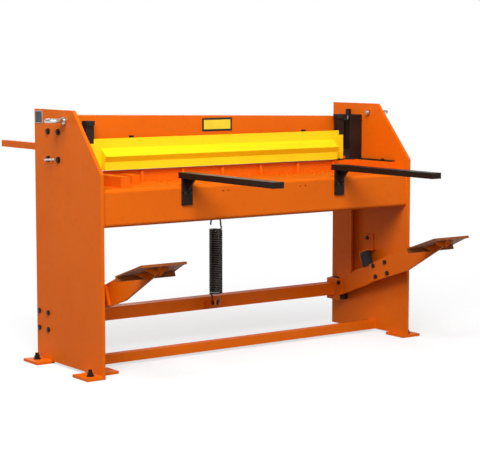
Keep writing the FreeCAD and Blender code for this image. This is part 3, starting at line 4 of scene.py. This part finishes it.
import bpy
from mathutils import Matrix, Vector


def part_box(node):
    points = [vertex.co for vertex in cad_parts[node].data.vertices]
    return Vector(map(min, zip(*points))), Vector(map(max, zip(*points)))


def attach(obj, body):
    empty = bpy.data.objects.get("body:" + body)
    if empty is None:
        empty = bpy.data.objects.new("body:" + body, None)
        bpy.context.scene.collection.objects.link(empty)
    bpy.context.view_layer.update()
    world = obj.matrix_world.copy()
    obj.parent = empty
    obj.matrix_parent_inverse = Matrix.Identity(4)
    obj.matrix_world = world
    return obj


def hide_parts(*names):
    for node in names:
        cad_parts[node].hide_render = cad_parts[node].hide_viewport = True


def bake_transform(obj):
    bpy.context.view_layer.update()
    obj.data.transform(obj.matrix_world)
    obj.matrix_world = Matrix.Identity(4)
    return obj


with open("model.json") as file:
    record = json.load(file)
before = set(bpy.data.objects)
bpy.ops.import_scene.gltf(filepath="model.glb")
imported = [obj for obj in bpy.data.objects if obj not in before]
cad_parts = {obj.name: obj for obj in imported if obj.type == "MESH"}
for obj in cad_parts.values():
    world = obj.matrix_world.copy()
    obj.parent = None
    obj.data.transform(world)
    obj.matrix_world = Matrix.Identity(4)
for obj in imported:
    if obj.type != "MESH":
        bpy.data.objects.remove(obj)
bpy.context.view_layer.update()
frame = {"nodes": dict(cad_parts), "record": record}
NODES = frame["nodes"]
BODIES = frame["record"]["behaviour"]["bodies"]

# Camera of the photograph, in metres and degrees
CAMERA_PLACE = (-4.0434, -5.6458, 1.3201)
CAMERA_TURN = 35.73
CAMERA_PITCH = 6.17
CAMERA_LENS = 116.3

# Sizes of what is modelled here, in metres
TURN_STEPS = 48
ANCHOR_THREAD = 0.009
STUD_THREAD = 0.006
KNOB_KNURL = 0.011
LABEL_EDGE = 0.0004

# Weld seams, in metres
BEAD_STEPS = 8
BEAD_RUN = 0.0022
FOOT_SEAM = 0.004
TABLE_SEAM = 0.0035
CROSSBAR_SEAM = 0.0035
TIE_BAR_SEAM = 0.003
FOOT_WELD_INSET = 0.006
FOOT_WELD_LENGTH = 0.115
TABLE_WELD_INSET = 0.020
BED_WELD_GAP = 0.002
CORNER_INSET = 0.003

# Bolts on the shelf, in metres, and how far each head is turned
SHELF_BOLT_LINE = 0.030
SHELF_BOLT_STEPS = (0.055, 0.108)
SHELF_BOLT_TURN = 0.35
SHELF_WASHER = 0.0125
SHELF_WASHER_SHEET = 0.0018
SHELF_HEAD = 0.0098
SHELF_HEAD_TOP = 0.0085
SHELF_SINK = 0.001

# Studio, in metres and watts
FLOOR_SIZE = 80
FLOOR_GLOW = 0.62
FLOOR_WHITE_FROM = 1.0
FLOOR_WHITE_TO = 3.0
HORIZON = 1.0
DOME = 0.36
UNDERNEATH = 0.06
STUDIO_MIDDLE = (0, 0, 0.6)
KEY_LIGHT = {"place": (-3.3, -3.8, 5.7), "size": 4.5, "power": 600}
FILL_LIGHT = {"place": (4.5, -4.5, 2.5), "size": 3.0, "power": 20}
BACK_LIGHT = {"place": (2.5, 6.0, 3.5), "size": 3.0, "power": 110}


# Node helpers

def new_material(name):
    """An empty node material with its principled shader."""
    material = bpy.data.materials.new(name)
    material.use_nodes = True
    tree = material.node_tree
    tree.nodes.clear()
    output = tree.nodes.new("ShaderNodeOutputMaterial")
    shader = tree.nodes.new("ShaderNodeBsdfPrincipled")
    tree.links.new(shader.outputs["BSDF"], output.inputs["Surface"])
    return material, tree, shader


def noise(tree, scale, detail=4.0, stretch=(1.0, 1.0, 1.0)):
    """A noise texture in object space."""
    place = tree.nodes.new("ShaderNodeTexCoord")
    mapping = tree.nodes.new("ShaderNodeMapping")
    mapping.inputs["Scale"].default_value = stretch
    texture = tree.nodes.new("ShaderNodeTexNoise")
    texture.inputs["Scale"].default_value = scale
    texture.inputs["Detail"].default_value = detail
    tree.links.new(place.outputs["Object"], mapping.inputs["Vector"])
    tree.links.new(mapping.outputs["Vector"], texture.inputs["Vector"])
    return texture.outputs["Fac"]


def spread(tree, value, low, high, start=0.3, end=0.7):
    """A value spread from one range on to another."""
    node = tree.nodes.new("ShaderNodeMapRange")
    node.inputs["From Min"].default_value = start
    node.inputs["From Max"].default_value = end
    node.inputs["To Min"].default_value = low
    node.inputs["To Max"].default_value = high
    tree.links.new(value, node.inputs["Value"])
    return node.outputs["Result"]


def worked(tree, operation, first, second):
    """One arithmetic step on two values; the second may be a plain number."""
    node = tree.nodes.new("ShaderNodeMath")
    node.operation = operation
    tree.links.new(first, node.inputs[0])
    if isinstance(second, float):
        node.inputs[1].default_value = second
    else:
        tree.links.new(second, node.inputs[1])
    return node.outputs["Value"]


def mix_colour(tree, factor, first, second):
    """A mix of two colours, each a plain colour or another node's output."""
    node = tree.nodes.new("ShaderNodeMix")
    node.data_type = "RGBA"
    tree.links.new(factor, node.inputs["Factor"])
    for socket, colour in ((node.inputs["A"], first), (node.inputs["B"], second)):
        if isinstance(colour, tuple):
            socket.default_value = (*colour, 1.0)
        else:
            tree.links.new(colour, socket)
    return node.outputs["Result"]


def edges(tree, radius):
    """How flat a point's surroundings are, and the normal of the rounded edge."""
    bevel = tree.nodes.new("ShaderNodeBevel")
    bevel.samples = 6
    bevel.inputs["Radius"].default_value = radius
    plain = tree.nodes.new("ShaderNodeNewGeometry")
    dot = tree.nodes.new("ShaderNodeVectorMath")
    dot.operation = "DOT_PRODUCT"
    tree.links.new(bevel.outputs["Normal"], dot.inputs[0])
    tree.links.new(plain.outputs["Normal"], dot.inputs[1])
    return dot.outputs["Value"], bevel.outputs["Normal"]


def bump(tree, shader, height, strength, distance, normal=None):
    """A bump on the shader from one height value."""
    node = tree.nodes.new("ShaderNodeBump")
    node.inputs["Strength"].default_value = strength
    node.inputs["Distance"].default_value = distance
    tree.links.new(height, node.inputs["Height"])
    if normal is not None:
        tree.links.new(normal, node.inputs["Normal"])
    tree.links.new(node.outputs["Normal"], shader.inputs["Normal"])


def from_middle(tree, axis, middle):
    """How far a point lies from one plane across an axis, in object space."""
    place = tree.nodes.new("ShaderNodeTexCoord")
    parts = tree.nodes.new("ShaderNodeSeparateXYZ")
    tree.links.new(place.outputs["Object"], parts.inputs["Vector"])
    away = worked(tree, "SUBTRACT", parts.outputs[axis], float(middle))
    return worked(tree, "ABSOLUTE", away, 0.0)


# Materials

def paint(name, base, shade, under, gloss, sheen):
    """Sprayed enamel on steel: faint mottling, orange peel and thin wear on its edges."""
    material, tree, shader = new_material(name)
    mottle = spread(tree, noise(tree, 3.0, 5.0), 0.0, 1.0)
    colour = mix_colour(tree, mottle, base, shade)
    dust = spread(tree, noise(tree, 34.0, 7.0), 0.0, 0.22, 0.55, 0.75)
    colour = mix_colour(tree, dust, colour, tuple(0.72 * part for part in shade))
    edge, normal = edges(tree, 0.0012)
    patches = spread(tree, noise(tree, 60.0, 6.0), 0.0, 1.0, 0.5, 0.62)
    worn = spread(tree, edge, 1.0, 0.0, 0.55, 0.93)
    colour = mix_colour(tree, worked(tree, "MULTIPLY", patches, worn), colour, under)
    tree.links.new(colour, shader.inputs["Base Color"])
    rough = spread(tree, noise(tree, 14.0, 3.0), gloss - 0.05, gloss + 0.08)
    tree.links.new(rough, shader.inputs["Roughness"])
    shader.inputs["Specular IOR Level"].default_value = sheen
    bump(tree, shader, noise(tree, 260.0, 2.0), 0.10, 0.0006, normal)
    return material


def metal(name, base, shade, roughness, stretch, grain, depth, metallic=1.0, sheen=0.5):
    """Bare or blackened metal with a grain along one direction."""
    material, tree, shader = new_material(name)
    lines = noise(tree, grain, 6.0, stretch)
    cloud = spread(tree, noise(tree, 8.0, 4.0), 0.0, 1.0)
    tree.links.new(mix_colour(tree, cloud, base, shade), shader.inputs["Base Color"])
    shader.inputs["Metallic"].default_value = metallic
    shader.inputs["Specular IOR Level"].default_value = sheen
    rough = spread(tree, lines, roughness - 0.08, roughness + 0.12)
    tree.links.new(rough, shader.inputs["Roughness"])
    _, normal = edges(tree, 0.0006)
    bump(tree, shader, lines, depth, 0.0004, normal)
    return material


def rubber(name):
    """Moulded rubber with a dusty bloom."""
    material, tree, shader = new_material(name)
    cloud = spread(tree, noise(tree, 25.0, 5.0), 0.0, 1.0)
    colour = mix_colour(tree, cloud, (0.012, 0.011, 0.010), (0.030, 0.028, 0.026))
    tree.links.new(colour, shader.inputs["Base Color"])
    shader.inputs["Roughness"].default_value = 0.78
    shader.inputs["Specular IOR Level"].default_value = 0.3
    _, normal = edges(tree, 0.002)
    bump(tree, shader, noise(tree, 700.0, 3.0), 0.3, 0.0008, normal)
    return material


def label(name, node, across, field, field_shade, border, rim):
    """Blank printed film on a plate: a plain field inside a border."""
    material, tree, shader = new_material(name)
    low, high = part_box(node)
    cloud = spread(tree, noise(tree, 18.0, 4.0), 0.0, 1.0)
    colour = mix_colour(tree, cloud, field, field_shade)
    masks = []
    for axis in (across, 2):
        inner = (high[axis] - low[axis]) / 2 - rim
        away = from_middle(tree, axis, (high[axis] + low[axis]) / 2)
        masks.append(spread(tree, away, 0.0, 1.0, inner - LABEL_EDGE, inner + LABEL_EDGE))
    mask = worked(tree, "MAXIMUM", masks[0], masks[1])
    tree.links.new(mix_colour(tree, mask, colour, border), shader.inputs["Base Color"])
    rough = spread(tree, noise(tree, 30.0, 3.0), 0.34, 0.50)
    tree.links.new(rough, shader.inputs["Roughness"])
    shader.inputs["Specular IOR Level"].default_value = 0.3
    _, normal = edges(tree, 0.0005)
    bump(tree, shader, noise(tree, 300.0, 2.0), 0.06, 0.0003, normal)
    return material


ORANGE = paint("orange_paint", (0.79, 0.142, 0.003), (0.74, 0.126, 0.003),
               (0.16, 0.045, 0.02), 0.42, 0.05)
# Pedal paint: dark brown colours that paint in the shade on the pedals' undersides; the
# darkness is painted shade, not wear
PEDAL_SHADE_PAINT = paint("worn_paint", (0.34, 0.082, 0.013), (0.20, 0.054, 0.013),
             (0.05, 0.024, 0.014), 0.46, 0.10)
YELLOW = paint("yellow_paint", (0.90, 0.68, 0.006), (0.86, 0.62, 0.005),
               (0.33, 0.25, 0.07), 0.42, 0.12)
SATIN = paint("black_paint", (0.013, 0.007, 0.005), (0.020, 0.012, 0.009),
              (0.12, 0.10, 0.08), 0.34, 0.10)
BLACK = metal("black_iron", (0.016, 0.009, 0.007), (0.030, 0.019, 0.015), 0.46,
              (1, 1, 1), 90.0, 0.25, 0.25, 0.20)
OXIDE = metal("black_oxide", (0.010, 0.008, 0.007), (0.022, 0.018, 0.016), 0.42,
              (1, 1, 1), 60.0, 0.18, 0.25, 0.25)
DARK = metal("dark_steel", (0.075, 0.069, 0.065), (0.045, 0.041, 0.039), 0.26,
             (1, 1, 6), 60.0, 0.2)
ZINC = metal("zinc_steel", (0.60, 0.59, 0.56), (0.48, 0.47, 0.44), 0.34,
             (1, 1, 6), 80.0, 0.15)
GROUND = metal("ground_steel", (0.52, 0.51, 0.50), (0.40, 0.39, 0.38), 0.28,
               (1, 40, 40), 30.0, 0.2)
BRONZE = metal("bronze", (0.55, 0.36, 0.14), (0.42, 0.26, 0.10), 0.36,
               (6, 1, 1), 60.0, 0.15)
RUBBER = rubber("rubber")
RAM_LABEL = label("yellow_label", "ram_label_plate", 0, (0.86, 0.66, 0.02),
                  (0.80, 0.60, 0.02), (0.012, 0.011, 0.010), 0.009)
SIDE_LABEL = label("grey_label", "side_label_plate", 1, (0.035, 0.042, 0.058),
                   (0.050, 0.058, 0.076), (0.42, 0.43, 0.44), 0.003)

SLOTS = {"orange_paint": ORANGE, "yellow_paint": YELLOW, "black_iron": BLACK,
         "black_paint": SATIN, "black_oxide": OXIDE, "dark_steel": DARK,
         "zinc_steel": ZINC, "ground_steel": GROUND, "bronze": BRONZE, "rubber": RUBBER,
         "yellow_label": RAM_LABEL, "grey_label": SIDE_LABEL}
SLOT_OF = {entry["node"]: entry["material_slot"] for entry in frame["record"]["subparts"]}
BODY_OF = {node: body for body, members in BODIES.items() for node in members}
# The pedals get the darker paint, whose colour is painted shade
PEDAL_SHADE_NODES = ("pedal_left", "pedal_right")

for node, slot in SLOT_OF.items():
    data = NODES[node].data
    data.materials.clear()
    data.materials.append(PEDAL_SHADE_PAINT if node in PEDAL_SHADE_NODES else SLOTS[slot])


# Mesh helpers

def shown(name, points, faces, slot, body, sharp=30):
    """A new piece of the object with its material, riding on one body."""
    mesh = bpy.data.meshes.new(name)
    mesh.from_pydata([tuple(point) for point in points], [], faces)
    mesh.validate()
    mesh.materials.append(SLOTS[slot])
    mesh.shade_smooth()
    mesh.set_sharp_from_angle(angle=math.radians(sharp))
    thing = bpy.data.objects.new(name, mesh)
    bpy.context.scene.collection.objects.link(thing)
    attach(thing, body)
    return thing


def solids(node):
    """The corner points of each separate solid of a CAD node."""
    mesh = NODES[node].data
    keys = {}
    index = [keys.setdefault(tuple(round(part, 5) for part in vertex.co), len(keys))
             for vertex in mesh.vertices]
    parent = list(range(len(keys)))

    def top(item):
        while parent[item] != item:
            parent[item] = parent[parent[item]]
            item = parent[item]
        return item

    for polygon in mesh.polygons:
        first = top(index[polygon.vertices[0]])
        for other in polygon.vertices[1:]:
            parent[top(index[other])] = first
    groups = {}
    for point, item in keys.items():
        groups.setdefault(top(item), []).append(point)
    return list(groups.values())


class Turned:
    """A stack of rings about one axis, from which fasteners are made."""

    def __init__(self, axis, centre, start=0.0):
        self.axis = axis
        self.centre = centre
        self.start = start
        self.points = []
        self.faces = []
        self.rings = 0

    def ring(self, radii, heights):
        """One more ring, joined to the one before."""
        others = [side for side in range(3) if side != self.axis]
        for step in range(TURN_STEPS):
            angle = 2 * math.pi * step / TURN_STEPS
            point = [0.0, 0.0, 0.0]
            point[self.axis] = heights(step)
            point[others[0]] = self.centre[0] + radii(step) * math.cos(angle + self.start)
            point[others[1]] = self.centre[1] + radii(step) * math.sin(angle + self.start)
            self.points.append(point)
        if self.rings:
            low = (self.rings - 1) * TURN_STEPS
            for step in range(TURN_STEPS):
                after = (step + 1) % TURN_STEPS
                self.faces.append((low + step, low + after, low + TURN_STEPS + after,
                                   low + TURN_STEPS + step))
        self.rings += 1

    def round(self, radius, height):
        """A plain round ring."""
        self.ring(lambda step: radius, lambda step: height)

    def rod(self, radius, low, high):
        """A round part with small chamfers."""
        cut = min(0.08 * radius, 0.2 * (high - low))
        self.round(radius - cut, low)
        self.round(radius, low + cut)
        self.round(radius, high - cut)
        self.round(radius - cut, high)

    def thread(self, radius, low, high, pitch):
        """A threaded part: crests and roots in turn."""
        turns = max(2, int((high - low) / pitch))
        pitch = (high - low) / turns
        for turn in range(turns):
            self.round(radius * 0.90, low + turn * pitch)
            self.round(radius, low + (turn + 0.38) * pitch)
            self.round(radius, low + (turn + 0.62) * pitch)
        self.round(radius * 0.88, high)

    def hexagon(self, corner, low, high):
        """A six-sided part whose corners are chamfered at both ends."""
        flat = corner * math.cos(math.pi / 6)
        inner = flat * 0.95

        def reach(step):
            turn = (2 * math.pi * step / TURN_STEPS) % (math.pi / 3) - math.pi / 6
            return flat / math.cos(turn)

        def drop(step):
            return (reach(step) - inner) * 0.55

        self.round(inner, low)
        self.ring(reach, lambda step: low + drop(step))
        self.ring(reach, lambda step: high - drop(step))
        self.round(inner, high)

    def knurled(self, radius, low, high):
        """A round knob with a knurled rim."""
        def rough(step):
            return radius * (0.95 if step % 2 else 1.0)

        cut = 0.1 * (high - low)
        self.round(radius * 0.88, low)
        self.ring(rough, lambda step: low + cut)
        self.ring(rough, lambda step: high - cut)
        self.round(radius * 0.88, high)

    def closed(self):
        """The faces together with both flat ends."""
        last = (self.rings - 1) * TURN_STEPS
        return self.faces + [tuple(range(TURN_STEPS))[::-1],
                             tuple(range(last, last + TURN_STEPS))]


def fastener(points, axis, threads, knurls):
    """One bolt, stud or pin, made again from the corners of its plain solid."""
    others = [side for side in range(3) if side != axis]
    middle = [(min(p[side] for p in points) + max(p[side] for p in points)) / 2
              for side in others]
    levels = {}
    for point in points:
        away = math.hypot(point[others[0]] - middle[0], point[others[1]] - middle[1])
        levels.setdefault(round(point[axis], 4), []).append((away, point))
    heights = sorted(levels)
    widest = [max(away for away, _ in levels[height]) for height in heights]
    made = Turned(axis, middle)
    sections = []
    for index in range(len(heights) - 1):
        radius = min(widest[index], widest[index + 1])
        near = index if widest[index] - radius < 1e-4 else index + 1
        rim = [point for away, point in levels[heights[near]] if radius - away < 5e-4]
        if len(rim) == 6:
            made.start = math.atan2(rim[0][others[1]] - middle[1],
                                    rim[0][others[0]] - middle[0])
        sections.append((heights[index], heights[index + 1], radius, len(rim) == 6))
    for low, high, radius, is_hexagon in sections:
        if is_hexagon:
            made.hexagon(radius, low, high)
        elif threads and radius <= threads:
            made.thread(radius, low, high, 0.2 * radius)
        elif knurls and radius >= knurls:
            made.knurled(radius, low, high)
        else:
            made.rod(radius, low, high)
    return made


def remade(node, axis=None, threads=0.0, knurls=0.0):
    """A CAD node of plain fasteners shown with chamfers, threads and knurls."""
    points, faces = [], []
    for solid in solids(node):
        spans = [max(p[side] for p in solid) - min(p[side] for p in solid)
                 for side in range(3)]
        along = spans.index(max(spans)) if axis is None else axis
        made = fastener(solid, along, threads, knurls)
        start = len(points)
        points.extend(made.points)
        faces.extend(tuple(start + index for index in face) for face in made.closed())
    thing = shown(f"{node}_detail", points, faces, SLOT_OF[node], BODY_OF[node])
    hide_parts(node)


def bead(points, faces, start, end, radius):
    """A weld seam between two points, with the ripples of its runs."""
    start, end = Vector(start), Vector(end)
    way = (end - start).normalized()
    side = way.orthogonal().normalized()
    other = way.cross(side)
    count = max(3, int((end - start).length / BEAD_RUN))
    first = len(points)
    for ring in range(count + 1):
        share = ring / count
        swell = (0.90, 1.04, 1.0)[ring % 3] if 0 < ring < count else 0.55
        centre = start.lerp(end, share)
        for step in range(BEAD_STEPS):
            angle = 2 * math.pi * step / BEAD_STEPS
            away = side * math.cos(angle) + other * math.sin(angle)
            points.append(centre + away * radius * swell)
    for ring in range(count):
        low = first + ring * BEAD_STEPS
        high = low + BEAD_STEPS
        for step in range(BEAD_STEPS):
            after = (step + 1) % BEAD_STEPS
            faces.append((low + step, low + after, high + after, high + step))
    last = first + count * BEAD_STEPS
    faces.append(tuple(range(first, first + BEAD_STEPS))[::-1])
    faces.append(tuple(range(last, last + BEAD_STEPS)))


def seams(name, lines, radius, body, slot="orange_paint"):
    """Several weld seams as one piece."""
    points, faces = [], []
    for start, end in lines:
        bead(points, faces, start, end, radius)
    shown(name, points, faces, slot, body, 60)


def both_sides(lines):
    """The same lines on both sides of the machine's middle."""
    return lines + [tuple((-x, y, z) for x, y, z in line) for line in lines]


# Fasteners with chamfers and threads

remade("frame_bolts")
remade("lever_bolts")
remade("small_bolts")
remade("gib_screws")
remade("anchor_studs", threads=ANCHOR_THREAD)
remade("guide_studs", threads=STUD_THREAD)
remade("gauge_clamp_screws", axis=2, threads=STUD_THREAD, knurls=KNOB_KNURL)
remade("hold_down_pins")
remade("ram_pins", axis=0)
remade("link_pins", axis=0)
remade("spring_pin", axis=0)


# Return spring, which stretches between its hanger and the treadle

def spring():
    """The wound wire, copied whole from the CAD spring."""
    source = NODES["return_spring"]
    coil = bpy.data.objects.new("spring_wire", source.data.copy())
    bpy.context.scene.collection.objects.link(coil)
    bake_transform(coil)
    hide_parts("return_spring")


spring()


# Weld seams under the paint

def foot_welds():
    """Seams between the side plates and the feet, on the outside."""
    low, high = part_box("side_plate_right")
    front = low.y + FOOT_WELD_INSET
    back = high.y - FOOT_WELD_INSET
    lines = [((high.x, front, low.z), (high.x, front + FOOT_WELD_LENGTH, low.z)),
             ((high.x, back - FOOT_WELD_LENGTH, low.z), (high.x, back, low.z))]
    seams("foot_welds", both_sides(lines), FOOT_SEAM, "frame")


def table_welds():
    """Seams between the table and the side plates."""
    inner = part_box("side_plate_right")[0].x
    low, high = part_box("table_beam")
    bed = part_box("bed_beam")[0].y
    front = low.y + TABLE_WELD_INSET
    bottom, top = low.z + TABLE_WELD_INSET, high.z - TABLE_WELD_INSET
    lines = [((inner, front, high.z), (inner, bed - BED_WELD_GAP, high.z)),
             ((inner, low.y, bottom), (inner, low.y, top))]
    seams("table_welds", both_sides(lines), TABLE_SEAM, "frame")


def tie_bar_welds():
    """Seams round the tie bar's ends."""
    low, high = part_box("tie_bar")
    bottom, top = low.z + CORNER_INSET, high.z - CORNER_INSET
    lines = [((high.x, low.y, bottom), (high.x, low.y, top)),
             ((high.x, low.y + CORNER_INSET, high.z), (high.x, high.y - CORNER_INSET, high.z)),
             ((high.x, high.y, bottom), (high.x, high.y, top))]
    seams("tie_bar_welds", both_sides(lines), TIE_BAR_SEAM, "frame")


def crossbar_welds():
    """Seams round the crossbar's ends, on the hubs."""
    low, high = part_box("crossbar")
    front, back = low.y + CORNER_INSET, high.y - CORNER_INSET
    bottom, top = low.z + CORNER_INSET, high.z - CORNER_INSET
    lines = [((high.x, low.y, bottom), (high.x, low.y, top)),
             ((high.x, high.y, bottom), (high.x, high.y, top)),
             ((high.x, front, high.z), (high.x, back, high.z)),
             ((high.x, front, low.z), (high.x, back, low.z))]
    seams("crossbar_welds", both_sides(lines), CROSSBAR_SEAM, "treadle")


foot_welds()
table_welds()
tie_bar_welds()
crossbar_welds()


# Painted bolt heads on the shelf, two in each bay

def shelf_bolts():
    """Washers with hexagon heads, low on the shelf."""
    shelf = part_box("table_beam")[1].z
    points, faces = [], []
    ribs = sorted((min(p[0] for p in solid) + max(p[0] for p in solid)) / 2
                  for solid in solids("bed_ribs"))
    for rib in ribs[:-1]:
        for along in SHELF_BOLT_STEPS:
            made = Turned(2, (rib + along, SHELF_BOLT_LINE), SHELF_BOLT_TURN)
            made.rod(SHELF_WASHER, shelf - SHELF_SINK, shelf + SHELF_WASHER_SHEET)
            made.hexagon(SHELF_HEAD, shelf + SHELF_WASHER_SHEET, shelf + SHELF_HEAD_TOP)
            start = len(points)
            points.extend(made.points)
            faces.extend(tuple(start + index for index in face) for face in made.closed())
    shown("shelf_bolts", points, faces, "orange_paint", "frame")


shelf_bolts()


# Stage: floor, light and camera

def floor():
    """A plain pale floor that turns white away from the machine."""
    bpy.ops.mesh.primitive_plane_add(size=FLOOR_SIZE, location=(0, 0, 0))
    plane = bpy.context.object
    plane.name = "floor"
    material, tree, shader = new_material("pale_floor")
    cloud = spread(tree, noise(tree, 1.5, 3.0), 0.0, 1.0)
    tree.links.new(mix_colour(tree, cloud, (0.37, 0.37, 0.37), (0.35, 0.35, 0.35)),
                   shader.inputs["Base Color"])
    shader.inputs["Roughness"].default_value = 0.9
    shader.inputs["Specular IOR Level"].default_value = 0.1
    shader.inputs["Emission Color"].default_value = (1.0, 1.0, 1.0, 1.0)
    shader.inputs["Emission Strength"].default_value = FLOOR_GLOW
    place = tree.nodes.new("ShaderNodeTexCoord")
    length = tree.nodes.new("ShaderNodeVectorMath")
    length.operation = "LENGTH"
    tree.links.new(place.outputs["Object"], length.inputs[0])
    far = spread(tree, length.outputs["Value"], 0.0, 1.0, FLOOR_WHITE_FROM, FLOOR_WHITE_TO)
    glow = tree.nodes.new("ShaderNodeEmission")
    glow.inputs["Color"].default_value = (1.0, 1.0, 1.0, 1.0)
    glow.inputs["Strength"].default_value = 1.0
    mixed = tree.nodes.new("ShaderNodeMixShader")
    tree.links.new(far, mixed.inputs["Fac"])
    tree.links.new(shader.outputs["BSDF"], mixed.inputs[1])
    tree.links.new(glow.outputs["Emission"], mixed.inputs[2])
    output = [node for node in tree.nodes if node.type == "OUTPUT_MATERIAL"][0]
    tree.links.new(mixed.outputs["Shader"], output.inputs["Surface"])
    plane.data.materials.append(material)
    plane.visible_diffuse = False


def area_light(name, place, size, power):
    """A round soft light that looks at the machine."""
    data = bpy.data.lights.new(name, "AREA")
    data.shape = "DISK"
    data.size = size
    data.energy = power
    light = bpy.data.objects.new(name, data)
    bpy.context.scene.collection.objects.link(light)
    light.location = place
    light.rotation_mode = "QUATERNION"
    way = Vector(STUDIO_MIDDLE) - Vector(place)
    light.rotation_quaternion = way.to_track_quat("-Z", "Y")


def lights():
    """A white horizon under a softer dome, a key light, a weak fill and a back light."""
    world = bpy.data.worlds.new("studio")
    world.use_nodes = True
    tree = world.node_tree
    back = tree.nodes["Background"]
    place = tree.nodes.new("ShaderNodeTexCoord")
    parts = tree.nodes.new("ShaderNodeSeparateXYZ")
    tree.links.new(place.outputs["Generated"], parts.inputs["Vector"])
    above = spread(tree, parts.outputs["Z"], HORIZON, DOME, 0.06, 0.26)
    below = spread(tree, parts.outputs["Z"], UNDERNEATH, HORIZON, -0.22, -0.05)
    strength = worked(tree, "MULTIPLY", above, below)
    tree.links.new(strength, back.inputs["Strength"])
    back.inputs["Color"].default_value = (1.0, 1.0, 1.0, 1.0)
    bpy.context.scene.world = world
    area_light("key", **KEY_LIGHT)
    area_light("fill", **FILL_LIGHT)
    area_light("back", **BACK_LIGHT)


def camera():
    """The photograph's view."""
    data = bpy.data.cameras.new("camera")
    data.lens = CAMERA_LENS
    data.sensor_width = 36
    data.clip_start = 0.1
    data.clip_end = 100
    view = bpy.data.objects.new("camera", data)
    bpy.context.scene.collection.objects.link(view)
    view.location = CAMERA_PLACE
    view.rotation_euler = (math.radians(90 - CAMERA_PITCH), 0, math.radians(-CAMERA_TURN))
    bpy.context.scene.camera = view


floor()
lights()
camera()
bpy.context.scene.view_settings.view_transform = "Standard"
